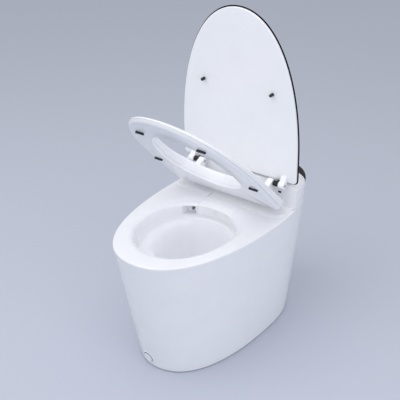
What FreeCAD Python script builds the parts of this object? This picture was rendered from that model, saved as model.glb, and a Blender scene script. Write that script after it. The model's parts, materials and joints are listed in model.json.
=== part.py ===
import FreeCAD, Part
import math
import os

# A one-piece smart toilet: a skirted glazed pedestal, a white rear unit with a black cover,
# and a seat and a lid that share one hinge line.
# Millimetres. X is the width, the front looks along -Y, Z is up from the floor.
# The origin is on the floor, in the middle of the length and of the width.
# The part stands with its lid open and its seat half raised.

os.makedirs("parts", exist_ok=True)
Vec = FreeCAD.Vector
right_angle = 90.0
full_turn = 360.0

# Driving sizes of the whole toilet
length = 666.0
rim_width = 394.0
base_width = 325.0
rim_height = 397.0
collar_rise = 53.0
shoulder_rise = 12.0
collar_height = rim_height + collar_rise
shoulder_height = collar_height + shoulder_rise
ceramic_wall = 12.0
plastic_wall = 3.0
running_gap = 0.3
seam_gap = 0.6
overrun = 5.0
pipe_fit_gap = 0.2

front_y = -length / 2
rear_y = length / 2

# Plan outlines of the pedestal: ovals of four cubic arcs, widest at middle_y.
# A bulge of 0.55 is an ellipse, and a larger one is squarer.
arc_poles = 3
rim_middle_y = 97.0
rim_front_bulge = 0.64
rim_rear_bulge = 0.75
base_front_setback = 87.0
base_rear_setback = 18.0
base_middle_y = 116.5
base_front_bulge = 0.65
base_rear_bulge = 0.71
edge_round = 5.0
foot_chamfer = 2.0
gasket_height = 2.0
gasket_inset = 3.0
gasket_width = 7.0


def save(name, shape):
    shape.exportStep("parts/" + name + ".step")
    print(name, "solids", len(shape.Solids), "valid", shape.isValid(), "volume", round(shape.Volume))


def together(shapes):
    return Part.makeCompound(shapes)


def oval(half_width, front, middle, rear, front_bulge, rear_bulge):
    """The poles of an oval of four cubic arcs: right, front, left, rear and back to the right."""
    poles = []
    for side, reach, bulge in ((1, front - middle, front_bulge), (-1, rear - middle, rear_bulge)):
        start = Vec(side * half_width, middle, 0)
        lean = Vec(side * half_width, middle + reach * bulge, 0)
        crest_before = Vec(side * half_width * bulge, middle + reach, 0)
        crest = Vec(0, middle + reach, 0)
        crest_after = Vec(-side * half_width * bulge, middle + reach, 0)
        lean_back = Vec(-side * half_width, middle + reach * bulge, 0)
        poles += [start, lean, crest_before, crest, crest_after, lean_back]
    return poles


def closed_wire(poles, z):
    """Four cubic arcs through the poles, level at z."""
    lifted = [pole + Vec(0, 0, z) for pole in poles]
    loop = lifted + lifted[:1]
    edges = []
    for first in range(0, len(poles), arc_poles):
        arc = Part.BezierCurve()
        arc.setPoles(loop[first:first + arc_poles + 1])
        edges.append(arc.toShape())
    return Part.Wire(edges)


def stacked(wires):
    return Part.makeLoft(wires, True, True)


def skin_points(z, inset=0.0):
    """The pedestal's outline at a height: straight from base to rim, then upright above it."""
    rise = min(z, rim_height) / rim_height
    low = oval(base_width / 2 - inset, front_y + base_front_setback + inset, base_middle_y,
               rear_y - base_rear_setback - inset, base_front_bulge, base_rear_bulge)
    high = oval(rim_width / 2 - inset, front_y + inset, rim_middle_y,
                rear_y - inset, rim_front_bulge, rim_rear_bulge)
    return [a + (b - a) * rise for a, b in zip(low, high)]


def skin_solid(levels):
    """A solid through the pedestal's outline, with an inset at each level."""
    return stacked([closed_wire(skin_points(z, inset), z) for z, inset in levels])


def block(x0, x1, y0, y1, z0, z1, corner=0.0):
    """A box between its lowest and highest corners, its upright edges rounded."""
    box = Part.makeBox(x1 - x0, y1 - y0, z1 - z0, Vec(x0, y0, z0))
    if corner:
        upright = [e for e in box.Edges if abs(e.Vertexes[0].Z - e.Vertexes[1].Z) > corner]
        box = box.makeFillet(corner, upright)
    return box


def rod(radius, start, end):
    way = end - start
    return Part.makeCylinder(radius, way.Length, start, way)


def tube(outer, inner, start, end):
    way = (end - start).normalize() * overrun
    return rod(outer, start, end).cut(rod(inner, start - way, end + way))


def plate(points, low, high, flat="z"):
    """A flat plate: an outline of straight edges, pushed from low to high along one axis."""
    place = {"z": lambda a, b: Vec(a, b, low), "x": lambda a, b: Vec(low, a, b),
             "y": lambda a, b: Vec(a, low, b)}[flat]
    way = {"z": Vec(0, 0, 1), "x": Vec(1, 0, 0), "y": Vec(0, 1, 0)}[flat] * (high - low)
    loop = Part.makePolygon([place(a, b) for a, b in points + points[:1]])
    return Part.Face(loop).extrude(way)


def mirrored(shape):
    return shape.mirror(Vec(0, 0, 0), Vec(1, 0, 0))


def both_sides(shape):
    return together([shape, mirrored(shape)])


def bent_path(points, radius):
    """Straight runs joined by tangent arcs of one radius."""
    edges, last = [], points[0]
    for before, corner, after in zip(points, points[1:], points[2:]):
        way_in, way_out = (corner - before).normalize(), (after - corner).normalize()
        turn = way_in.getAngle(way_out)
        back = radius * math.tan(turn / 2)
        start, end = corner - way_in * back, corner + way_out * back
        bisector = (way_out - way_in).normalize()
        middle = corner + bisector * (radius / math.cos(turn / 2) - radius)
        edges.append(Part.LineSegment(last, start).toShape())
        edges.append(Part.Arc(start, middle, end).toShape())
        last = end
    edges.append(Part.LineSegment(last, points[-1]).toShape())
    return Part.Wire(edges)


def swept_round(points, bend, radius):
    path = bent_path(points, bend)
    circle = Part.Wire([Part.makeCircle(radius, points[0], points[1] - points[0])])
    return path.makePipeShell([circle], True, False)


def swept_tube(points, bend, outer, wall):
    return swept_round(points, bend, outer).cut(swept_round(points, bend, outer - wall))


# The bowl: levels of its hollow, each with a height, half width, front and rear
rim_front_land = 50.0
rim_side_land = 52.0
mouth_rear_y = 83.5
mouth_half_width = rim_width / 2 - rim_side_land
mouth_front_y = front_y + rim_front_land
lip_drop = 10.0
lip_run_side = 16.0
lip_run_front = 20.0
lip_run_rear = 43.0
wall_drop = 46.0
wall_draft = 8.0
shelf_drop = 60.0
shelf_side = 28.0
shelf_front = 62.0
shelf_rear = 6.0
throat_drop = 12.0
throat_draft = 4.0
basin_drop = 160.0
basin_side = 26.0
basin_front = 62.0
basin_rear = 22.0
sump_drop = 212.0
sump_half_width = 34.0
sump_front_y = -96.0
sump_rear_y = -20.0
bowl_front_bulge = 0.585
bowl_rear_bulge = 0.62
bowl_middle_share = 0.56
lip_drop_share = 0.3
lip_run_share = 0.55
bowl_wall = 10.0

lip = (rim_height - lip_drop, mouth_half_width - lip_run_side,
       mouth_front_y + lip_run_front, mouth_rear_y - lip_run_rear)
half_lip = (rim_height - lip_drop * lip_drop_share, mouth_half_width - lip_run_side * lip_run_share,
            mouth_front_y + lip_run_front * lip_run_share, mouth_rear_y - lip_run_rear * lip_run_share)
wall_foot = (rim_height - wall_drop, lip[1] - wall_draft, lip[2] + wall_draft, lip[3] + wall_draft / 2)
shelf_edge = (rim_height - shelf_drop, wall_foot[1] - shelf_side,
              wall_foot[2] + shelf_front, wall_foot[3] - shelf_rear)
throat = (shelf_edge[0] - throat_drop, shelf_edge[1] - throat_draft,
          shelf_edge[2] + throat_draft, shelf_edge[3] - throat_draft)
basin = (rim_height - basin_drop, throat[1] - basin_side, throat[2] + basin_front, throat[3] - basin_rear)
sump = (rim_height - sump_drop, sump_half_width, sump_front_y, sump_rear_y)
mouth = (rim_height, mouth_half_width, mouth_front_y, mouth_rear_y)
bowl_levels = [sump, basin, throat, shelf_edge, wall_foot, lip, half_lip, mouth]


def bowl_wire(level, grow=0.0, drop=0.0):
    z, half_width, front, rear = level
    middle = front + (rear - front) * bowl_middle_share
    points = oval(half_width + grow, front - grow, middle, rear + grow, bowl_front_bulge, bowl_rear_bulge)
    return closed_wire(points, z - drop)


def bowl_hollow(wall=0.0):
    above = (rim_height + overrun, mouth_half_width, mouth_front_y, mouth_rear_y)
    return stacked([bowl_wire(level, wall, wall) for level in bowl_levels + [above]])


def bowl_shell():
    """The outside of the bowl's wall, from under the sump to inside the deck."""
    top = (rim_height - ceramic_wall / 2, lip[1], lip[2], lip[3])
    levels = bowl_levels[:5] + [top]
    drops = [bowl_wall, bowl_wall, bowl_wall, bowl_wall, bowl_wall, 0.0]
    return stacked([bowl_wire(level, bowl_wall, drop) for level, drop in zip(levels, drops)])


# Where the rear unit stands on the pedestal
collar_front_y = 161.5
collar_front_rise = 28.0
collar_slope_end_y = 208.0
collar_wall = 11.0
bay_half_width = 118.0
bay_front_y = 172.0
bay_rear_land = 60.0
bay_corner = 20.0
window_half_width = 92.0
window_low = 70.0
window_high = 300.0
window_corner = 24.0

# The spray tray: a cut-out in the rear of the rim that the rear unit's tongue covers
tray_half_width = 57.0
tray_front_y = 22.0
tray_depth = 44.0

# Drain: an outlet through the bowl's rear into the trap pipe
drain_drop = 184.0
drain_z = rim_height - drain_drop
drain_radius = 25.0
trap_wall = 4.0
trap_radius = drain_radius + trap_wall
drain_y = 38.0
drain_height = 14.0
horn_start_y = sump_rear_y - 30.0
horn_end_y = 46.0
horn_wall = 7.0

# The jet opening: a recess in the bowl's rear left wall, with a hole back to the jet block
jet_mouth_x0, jet_mouth_x1 = -94.0, -61.0
jet_mouth_rear_y = 43.0
jet_mouth_top_drop = 13.0
jet_mouth_height = 28.0
jet_mouth_corner = 6.0
jet_hole_radius = 8.0
jet_block_front_y = 52.0

# Foot button on the front of the skirt
button_x = -22.0
button_z = 30.0
button_radius = 15.0
barrel_radius = 18.0
bezel_radius = 20.0
button_travel = 3.0


def skin_y(x, z, inset=0.0, rear=False):
    """Where the front or the rear of the pedestal's skin lies at a width and a height."""
    first = arc_poles * (2 if rear else 0) + (arc_poles if (x < 0) != rear else 0)
    poles = skin_points(z, inset)
    poles = (poles + poles[:1])[first:first + arc_poles + 1]
    arc = Part.BezierCurve()
    arc.setPoles(poles)
    probe = Part.makeLine(Vec(x, front_y * 2, 0), Vec(x, rear_y * 2, 0))
    return arc.toShape().distToShape(probe)[1][0][0].y


button_lean = math.atan2(base_front_setback, rim_height)
button_yaw = math.atan((skin_y(button_x, button_z) - skin_y(0, button_z)) / button_x)
button_face = Vec(button_x, skin_y(button_x, button_z), button_z)
button_way = Vec(math.sin(button_yaw), -math.cos(button_yaw), -math.sin(button_lean)).normalize()


def on_button(depth):
    """A point on the button's axis, measured into the skirt."""
    return button_face - button_way * depth


def window_block(gap=0.0):
    """The outline of the rear service window, run through the skirt's rear wall."""
    window = block(-window_half_width + gap, window_half_width - gap, window_low + gap, window_high - gap,
                   0, ceramic_wall * 5, window_corner)
    window.rotate(Vec(0, 0, 0), Vec(1, 0, 0), right_angle)
    window.translate(Vec(0, rear_y + ceramic_wall, 0))
    return window


def collar_side(lift=0.0, above=True):
    """All that lies above, or behind and below, the line of the collar's top: a slope, then level."""
    if above:
        outline = [(front_y * 2, rim_height), (collar_front_y, rim_height)]
        end = [(collar_slope_end_y, collar_height * 2), (front_y * 2, collar_height * 2)]
    else:
        outline = [(collar_front_y - running_gap, 0)]
        end = [(rear_y * 2, collar_height + lift), (rear_y * 2, 0)]
    outline += [(collar_front_y if above else collar_front_y - running_gap, rim_height + collar_front_rise + lift),
                (collar_slope_end_y, collar_height + lift)]
    return plate(outline + end, -rim_width, rim_width, "x")


def jet_recess(grow=0.0):
    low, top = rim_height - jet_mouth_top_drop - jet_mouth_height, rim_height - jet_mouth_top_drop
    end_y = jet_block_front_y - running_gap if grow else jet_mouth_rear_y
    return block(jet_mouth_x0 - grow, jet_mouth_x1 + grow, -jet_mouth_rear_y, end_y, low - grow, top + grow,
                 jet_mouth_corner)


def jet_hole(start_y, end_y):
    z = rim_height - jet_mouth_top_drop - jet_mouth_height / 2
    return rod(jet_hole_radius, Vec(pump_x, start_y, z), Vec(pump_x, end_y, z))


def pedestal():
    body = skin_solid([(gasket_height, foot_chamfer), (gasket_height + foot_chamfer, 0), (rim_height, 0),
                       (collar_height, 0)])
    body = body.cut(collar_side())
    rim_edges = [e for e in body.Edges if e.BoundBox.ZLength < running_gap
                 and abs(e.BoundBox.ZMax - rim_height) < running_gap
                 and e.BoundBox.YLength > ceramic_wall
                 and e.BoundBox.YMax < collar_front_y + running_gap]
    body = body.makeFillet(edge_round, rim_edges)
    collar_hollow = skin_solid([(rim_height, collar_wall), (collar_height + overrun, collar_wall)])
    collar_hollow = collar_hollow.cut(block(-rim_width, rim_width, front_y * 2,
                                            collar_front_y - ceramic_wall, 0, collar_height * 2))
    inside = skin_solid([(-overrun, ceramic_wall + foot_chamfer), (rim_height - ceramic_wall, ceramic_wall)])
    horn = rod(drain_radius + horn_wall, Vec(0, horn_start_y, drain_z), Vec(0, horn_end_y, drain_z))
    tray_shell = block(-tray_half_width - ceramic_wall, tray_half_width + ceramic_wall,
                       tray_front_y - ceramic_wall, bay_front_y,
                       rim_height - tray_depth - ceramic_wall, rim_height)
    core = inside.cut(bowl_shell()).cut(horn).cut(tray_shell).cut(jet_recess(horn_wall))
    bay = block(-bay_half_width, bay_half_width, bay_front_y, rear_y - bay_rear_land,
                rim_height - ceramic_wall * 2, rim_height + overrun, bay_corner)
    tray = block(-tray_half_width, tray_half_width, tray_front_y - overrun * 2, bay_front_y + overrun,
                 rim_height - tray_depth, rim_height + overrun)
    drain = rod(drain_radius, Vec(0, horn_start_y, drain_z), Vec(0, horn_end_y + overrun, drain_z))
    button_hole = rod(barrel_radius + running_gap, on_button(-overrun * 2), on_button(ceramic_wall * 3))
    flange_seat = rod(bezel_radius + running_gap, on_button(-overrun * 2), on_button(bezel_reach + running_gap))
    gland_hole = rod(gland_radius + pipe_fit_gap, Vec(gland_x, gland_y - gland_length, gland_z),
                     Vec(gland_x, rear_y * 2, gland_z))
    away = [collar_hollow, core, bowl_hollow(), bay, tray, window_block(), drain, button_hole, flange_seat]
    away += [jet_recess(), jet_hole(jet_mouth_rear_y - overrun, jet_block_front_y + overrun), gland_hole]
    away += [rod(deck_bolt_radius + seam_gap, Vec(x, y, rim_height - ceramic_wall * 2),
                 Vec(x, y, rim_height + overrun)) for x, y in deck_bolts]
    for piece in away:
        body = body.cut(piece)
    return body


def floor_gasket():
    outer = skin_solid([(0, gasket_inset), (gasket_height, gasket_inset)])
    inner = skin_solid([(-overrun, gasket_inset + gasket_width),
                        (gasket_height + overrun, gasket_inset + gasket_width)])
    return outer.cut(inner)


# Bolts that hold the rear unit's base plate on the deck
deck_bolt_radius = 4.0
deck_bolt_land = 51.0
deck_bolt_x = rim_width / 2 - deck_bolt_land
deck_bolt_front_y = 178.0
deck_bolt_rear_y = 236.0
deck_bolts = [(side * deck_bolt_x, y) for side in (-1, 1) for y in (deck_bolt_front_y, deck_bolt_rear_y)]

# Drain: a trap pipe from the bowl's outlet horn to the floor outlet
trap_bend = 40.0
trap_rise = 44.0
trap_run = 38.0
trap_drop = 118.0
trap_low_z = 60.0
drain_sleeve_wall = 8.0
drain_flange_radius = 56.0
drain_flange_height = 4.0
drain_seal_radius = 50.0

crest_y = horn_end_y + trap_run + trap_rise
fall_y = crest_y + trap_rise
trap_path = [Vec(0, horn_end_y + running_gap, drain_z), Vec(0, horn_end_y + trap_run, drain_z),
             Vec(0, crest_y, drain_z + trap_rise), Vec(0, fall_y, drain_z),
             Vec(0, fall_y, drain_z - trap_drop), Vec(0, drain_y, trap_low_z),
             Vec(0, drain_y, drain_height)]
sleeve_radius = trap_radius + drain_sleeve_wall
floor_point = Vec(0, drain_y, 0)
sleeve_seat = Vec(0, drain_y, drain_height / 2)


def drain_collar():
    sleeve = rod(sleeve_radius, floor_point, floor_point + Vec(0, 0, drain_height * 2))
    flange = rod(drain_flange_radius, sleeve_seat, sleeve_seat + Vec(0, 0, drain_flange_height))
    socket_low = floor_point + Vec(0, 0, drain_height - running_gap)
    socket_bore = rod(trap_radius + pipe_fit_gap, socket_low, socket_low + Vec(0, 0, drain_height * 2))
    outlet = rod(drain_radius, floor_point - Vec(0, 0, overrun), floor_point + Vec(0, 0, drain_height * 3))
    return sleeve.fuse(flange).cut(socket_bore).cut(outlet)


# Hoses and their sockets
hose_radius = 11.0
hose_wall = 2.5
thin_hose_radius = 7.0
thin_hose_wall = 1.5
socket_wall = 2.5
socket_length = 14.0


def socket(start, way, radius=hose_radius):
    """The outside and the bore of a hose socket that stands on a wall."""
    outside = rod(radius + running_gap + socket_wall, start, start + way * socket_length)
    bore = rod(radius + running_gap, start - way * overrun, start + way * (socket_length + overrun))
    return outside, bore


# Flush tank, standing on the floor to the right of the trap pipe
tank_side_land = 48.5
tank_width = 74.0
tank_x1 = base_width / 2 - tank_side_land
tank_x0 = tank_x1 - tank_width
tank_y0, tank_y1 = 84.0, 258.0
tank_z0, tank_z1 = 0.5, 240.0
tank_corner = 14.0
tank_cap_radius = 22.0
tank_cap_height = 10.0
suction_y = 236.0
suction_z = 46.0
inlet_z = 215.0
cap_centre = Vec((tank_x0 + tank_x1) / 2, tank_y0 + tank_cap_radius * 2, tank_z1 + running_gap)
fill_end = Vec((tank_x0 + tank_x1) / 2, tank_y1 - plastic_wall / 2, inlet_z)


def flush_tank():
    outer = block(tank_x0, tank_x1, tank_y0, tank_y1, tank_z0, tank_z1, tank_corner)
    inner = block(tank_x0 + plastic_wall, tank_x1 - plastic_wall, tank_y0 + plastic_wall,
                  tank_y1 - plastic_wall, tank_z0 + plastic_wall, tank_z1 - plastic_wall,
                  tank_corner - plastic_wall)
    suction_out, suction_bore = socket(Vec(tank_x0 + plastic_wall / 2, suction_y, suction_z), Vec(-1, 0, 0))
    fill_out, fill_bore = socket(fill_end, Vec(0, 1, 0), thin_hose_radius)
    filler = rod(tank_cap_radius - plastic_wall, cap_centre - Vec(0, 0, overrun * 2), cap_centre)
    body = outer.fuse(suction_out).fuse(fill_out)
    return body.cut(inner).cut(suction_bore).cut(fill_bore).cut(filler)


# Flush pump, standing on the floor to the left of the trap pipe
pump_side_land = 80.5
pump_x = -(base_width / 2 - pump_side_land)
pump_z = 46.0
pump_front_y = 212.0
pump_radius = 36.0
pump_depth = 46.0
pump_wall = 3.0
motor_radius = 27.0
motor_length = 84.0
foot_half_width = 24.0
foot_depth = 22.0
foot_low_z = 0.5
impeller_radius = 26.0
impeller_disc = 3.0
impeller_blades = 7
blade_thickness = 2.2
blade_height = 12.0
shaft_radius = 4.0
shaft_gap = 0.06
shaft_reach = 14.0
pump_face = Vec(pump_x, pump_front_y, pump_z)
pump_rear = pump_face + Vec(0, pump_depth, 0)
pump_middle = pump_face + Vec(0, pump_depth / 2 - blade_height / 2, 0)
motor_end = pump_face - Vec(0, motor_length, 0)


def standing_foot(front):
    return block(pump_x - foot_half_width, pump_x + foot_half_width, front, front + foot_depth,
                 foot_low_z, pump_z - motor_radius / 2)


def pump_housing():
    body = rod(pump_radius, pump_face, pump_rear).fuse(standing_foot(pump_front_y + pump_wall))
    side_out, side_bore = socket(Vec(pump_x + pump_radius - pump_wall / 2, suction_y, suction_z), Vec(1, 0, 0))
    top_out, top_bore = socket(pump_face + Vec(0, pump_depth / 2, pump_radius - pump_wall / 2), Vec(0, 0, 1))
    chamber = rod(pump_radius - pump_wall, pump_face + Vec(0, pump_wall, 0), pump_rear - Vec(0, pump_wall, 0))
    shaft_hole = rod(shaft_radius + shaft_gap, pump_face - Vec(0, overrun, 0), pump_middle)
    return body.fuse(side_out).fuse(top_out).cut(chamber).cut(side_bore).cut(top_bore).cut(shaft_hole)


def bladed_wheel(centre, way, side, disc_radius, disc, blades, blade, reach):
    """A disc with upright straight blades spread round its middle."""
    wheel = rod(disc_radius, centre, centre + way * disc)
    across = way.cross(side) * (blade / 2)
    rim_point = centre + side * disc_radius
    round_limit = rod(disc_radius, centre, centre + way * (disc + reach))
    for turn in range(blades):
        loop = [centre - across, rim_point - across, rim_point + across, centre + across, centre - across]
        fin = Part.Face(Part.makePolygon(loop)).extrude(way * (disc + reach)).common(round_limit)
        fin.rotate(centre, way, full_turn / blades * turn)
        wheel = wheel.fuse(fin)
    return wheel


def pump_impeller():
    wheel = bladed_wheel(pump_middle, Vec(0, 1, 0), Vec(0, 0, 1), impeller_radius,
                         impeller_disc, impeller_blades, blade_thickness, blade_height)
    return wheel.fuse(rod(shaft_radius, pump_face - Vec(0, shaft_reach, 0), pump_middle + Vec(0, blade_height, 0)))


def pump_motor():
    body = rod(motor_radius, motor_end, pump_face - Vec(0, running_gap, 0))
    body = body.fuse(standing_foot(motor_end.y + pump_wall))
    return body.cut(rod(shaft_radius + shaft_gap, pump_face - Vec(0, shaft_reach + seam_gap, 0),
                        pump_face + Vec(0, overrun, 0)))


# The jet hose, and the block that takes it to the rear left of the bowl
jet_bend = 30.0
jet_turn_z = 300.0
jet_end_y = 92.0
jet_block_size = 22.0
jet_block_depth = jet_end_y - jet_block_front_y
suction_start = Vec(tank_x0 - running_gap, suction_y, suction_z)
suction_end = Vec(pump_x + pump_radius + running_gap, suction_y, suction_z)
jet_start = pump_face + Vec(0, pump_depth / 2, pump_radius + running_gap)
jet_path = [jet_start, Vec(pump_x, jet_start.y, jet_turn_z), Vec(pump_x, jet_end_y, jet_turn_z)]


def jet_block():
    body = block(pump_x - jet_block_size / 2, pump_x + jet_block_size / 2, jet_end_y - jet_block_depth,
                 jet_end_y - running_gap, jet_turn_z - jet_block_size / 2,
                 rim_height - ceramic_wall - running_gap)
    bore = rod(hose_radius - hose_wall, Vec(pump_x, jet_end_y - jet_block_depth / 2, jet_turn_z),
               Vec(pump_x, jet_end_y + overrun, jet_turn_z))
    riser_y = jet_end_y - jet_block_depth / 2
    riser = rod(jet_hole_radius, Vec(pump_x, riser_y, jet_turn_z),
                Vec(pump_x, riser_y, rim_height - jet_mouth_top_drop - jet_mouth_height / 2 + jet_hole_radius))
    return body.cut(bore).cut(riser).cut(jet_hole(jet_block_front_y - overrun, riser_y))


# The service panel in the rear window, and the water inlet that it carries
panel_inset = 4.0
inlet_x = -50.0
inlet_flange_radius = 21.0
inlet_flange = 4.0
inlet_body_radius = 17.0
inlet_body_length = 58.0
inlet_thread_radius = 10.2
inlet_thread_reach = 11.0
inlet_bore_radius = 6.5
coil_size = 24.0
fill_bend = 9.5
supply_setback = 10.0
panel_face = skin_y(inlet_x, inlet_z, panel_inset + plastic_wall, rear=True) - seam_gap - inlet_flange
inlet_rear = Vec(inlet_x, panel_face, inlet_z)
inlet_front = inlet_rear - Vec(0, inlet_body_length, 0)
inlet_tip = inlet_rear + Vec(0, inlet_flange + plastic_wall + inlet_thread_reach, 0)
fill_start = inlet_rear + Vec(inlet_body_radius - socket_wall, -inlet_body_length / 2, 0)
fill_path = [fill_start + Vec(socket_wall + running_gap, 0, 0), Vec(fill_end.x, fill_start.y, inlet_z),
             fill_end + Vec(0, plastic_wall, 0)]
supply_start = inlet_front + Vec(0, supply_setback, inlet_body_radius - socket_wall)


def service_panel():
    levels = [window_low - overrun, window_high + overrun]
    panel = skin_solid([(z, panel_inset) for z in levels])
    panel = panel.cut(skin_solid([(z + step, panel_inset + plastic_wall)
                                  for z, step in zip(levels, (-overrun, overrun))]))
    panel = panel.common(window_block(seam_gap))
    return panel.cut(rod(inlet_thread_radius + seam_gap, inlet_front, inlet_tip + Vec(0, overrun, 0)))


def inlet_valve():
    body = rod(inlet_body_radius, inlet_front, inlet_rear)
    body = body.fuse(rod(inlet_flange_radius, inlet_rear - Vec(0, inlet_flange, 0), inlet_rear))
    body = body.fuse(rod(inlet_thread_radius, inlet_rear, inlet_tip))
    body = body.fuse(block(inlet_x - coil_size / 2, inlet_x + coil_size / 2, inlet_front.y + coil_size / 2,
                           inlet_front.y + coil_size * 3 / 2, inlet_z - inlet_body_radius - coil_size / 2,
                           inlet_z, plastic_wall))
    fill_out, fill_bore = socket(fill_start, Vec(1, 0, 0), thin_hose_radius)
    supply_out, supply_bore = socket(supply_start, Vec(0, 0, 1), thin_hose_radius)
    way_in = rod(inlet_bore_radius, inlet_rear - Vec(0, inlet_body_length / 2, 0), inlet_tip + Vec(0, overrun, 0))
    return body.fuse(fill_out).fuse(supply_out).cut(fill_bore).cut(supply_bore).cut(way_in)


# Floor brackets: angle plates inside the skirt, each with one bolt into the floor
bracket_land = 44.5
bracket_x = base_width / 2 - bracket_land
bracket_y = -14.0
bracket_half_width = 24.0
bracket_low_z = 0.5
bracket_plate = 5.0
bracket_reach = 20.0
bracket_upright = 44.0
floor_bolt_hole = 4.5


def floor_bracket():
    inner = skin_solid([(-overrun, ceramic_wall + foot_chamfer + running_gap),
                        (rim_height / 2, ceramic_wall + foot_chamfer + running_gap)])
    low = block(bracket_x - bracket_reach, rim_width, bracket_y - bracket_half_width,
                bracket_y + bracket_half_width, bracket_low_z, bracket_low_z + bracket_plate)
    upright = block(bracket_x - bracket_reach, rim_width, bracket_y - bracket_half_width,
                    bracket_y + bracket_half_width, bracket_low_z, bracket_low_z + bracket_upright)
    inner_core = skin_solid([(-overrun, ceramic_wall + foot_chamfer + bracket_plate),
                             (rim_height / 2, ceramic_wall + foot_chamfer + bracket_plate)])
    body = low.fuse(upright.cut(inner_core)).common(inner)
    return body.cut(rod(floor_bolt_hole, Vec(bracket_x, bracket_y, -overrun),
                        Vec(bracket_x, bracket_y, bracket_plate + overrun)))


# Foot button: a sprung disc in a bezel near the floor, with a switch behind it
bezel_reach = 1.2
barrel_length = 30.0
button_disc = 6.0
button_stem_radius = 4.0
button_stem = 15.0
guide_plate = 3.0
guide_depth = 16.0
spring_radius = 7.0
spring_wire = 1.0
spring_turns = 5
switch_size = 16.0
switch_clear_radius = 12.0
switch_depth = 12.0
switch_gap = 0.3


def button_bezel():
    body = rod(bezel_radius, on_button(bezel_reach), on_button(-bezel_reach))
    body = body.fuse(rod(barrel_radius, on_button(bezel_reach), on_button(barrel_length)))
    body = body.cut(rod(button_radius + running_gap, on_button(-overrun), on_button(guide_depth)))
    body = body.cut(rod(switch_clear_radius, on_button(guide_depth + guide_plate),
                        on_button(barrel_length + overrun)))
    return body.cut(rod(button_stem_radius + shaft_gap, on_button(0), on_button(barrel_length)))


def foot_button():
    body = rod(button_radius, on_button(-bezel_reach), on_button(button_disc))
    return body.fuse(rod(button_stem_radius, on_button(0), on_button(button_disc + button_stem)))


def button_spring():
    low, high = button_disc + spring_wire + pipe_fit_gap, guide_depth - spring_wire - pipe_fit_gap
    coil = Part.makeHelix((high - low) / spring_turns, high - low, spring_radius)
    start = Vec(spring_radius, 0, 0)
    wire = Part.Wire([Part.makeCircle(spring_wire, start, Vec(0, 1, 0))])
    spring = Part.Wire(coil.Edges).makePipeShell([wire], True, True)
    spring.Placement = FreeCAD.Placement(on_button(low), FreeCAD.Rotation(Vec(0, 0, 1), -button_way))
    return spring


def button_switch():
    body = Part.makeBox(switch_size, switch_size, switch_depth, Vec(-switch_size / 2, -switch_size / 2, 0))
    reach = button_disc + button_stem + button_travel + switch_gap
    body.Placement = FreeCAD.Placement(on_button(reach), FreeCAD.Rotation(Vec(0, 0, 1), -button_way))
    return body


# Base plate of the rear unit: a stepped apron in front, a flat chassis inside the collar
deck_bolt_head_radius = 7.0
deck_bolt_head = 4.0
nut_height = 7.0
nut_gap = 0.1
apron_land = 9.0
apron_half_width = rim_width / 2 - apron_land
apron_corner = 34.0
apron_tiers = [(1.7, 76.0), (3.4, 81.0), (5.0, 88.0)]
plate_low_z = rim_height + running_gap
plate_thickness = 3.0
plate_top_z = plate_low_z + plate_thickness
housing_front_y = 157.5
slot_half_width = 57.6
slot_rear_y = 192.0
valve_x, valve_y = supply_start.x, supply_start.y
valve_hole_radius = 10.6


def skin_plate(inset, low, high):
    return skin_solid([(low, inset), (high, inset)])


def base_plate():
    body = skin_plate(collar_wall + seam_gap, plate_low_z, plate_top_z)
    body = body.cut(block(-rim_width, rim_width, front_y * 2, housing_front_y - seam_gap * 2, 0, collar_height))
    for height, front in apron_tiers:
        tier = block(-apron_half_width, apron_half_width, front, housing_front_y * 2, plate_low_z,
                     plate_low_z + height)
        corners = [e for e in tier.Edges if e.BoundBox.ZLength > running_gap and e.BoundBox.YMax < front + overrun]
        tier = tier.makeFillet(apron_corner, corners)
        body = body.fuse(tier.cut(block(-rim_width, rim_width, housing_front_y - running_gap, rear_y * 2,
                                        0, collar_height)))
    slot = block(-slot_half_width, slot_half_width, 0, collar_front_y + ceramic_wall, 0, collar_height)
    wand_slot = block(-slot_half_width / 4, slot_half_width / 4, 0, slot_rear_y, 0, collar_height)
    hole = rod(valve_hole_radius, Vec(valve_x, valve_y, 0), Vec(valve_x, valve_y, collar_height))
    duct_hole = block(duct_x0 - running_gap, duct_x1 + running_gap, duct_turn_y - running_gap,
                      dryer_y - dryer_radius, 0, collar_height)
    body = body.cut(slot).cut(wand_slot).cut(hole).cut(duct_hole)
    for x, y in deck_bolts:
        body = body.cut(rod(deck_bolt_radius + running_gap, Vec(x, y, 0), Vec(x, y, collar_height)))
    return body


def deck_bolt_set():
    pieces = []
    for x, y in deck_bolts:
        under = Vec(x, y, rim_height - ceramic_wall - running_gap)
        seat = Vec(x, y, plate_top_z)
        shank = rod(deck_bolt_radius, under - Vec(0, 0, nut_height + overrun / 2), seat)
        pieces.append(shank.fuse(rod(deck_bolt_head_radius, seat, seat + Vec(0, 0, deck_bolt_head))))
        pieces.append(tube(deck_bolt_head_radius, deck_bolt_radius + nut_gap,
                           under - Vec(0, 0, nut_height), under))
    return together(pieces)


# The tongue: a cover over the spray tray, with a round hole for the wand in its front face
tongue_half_width = tray_half_width - running_gap
tongue_wall = 2.6
tongue_rear_y = 156.9
tongue_foot_z = rim_height - 40.0
tongue_step_y = 86.0
tongue_level_y = 112.0
tongue_rise = 4.9
wand_hole_radius = 7.2


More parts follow.
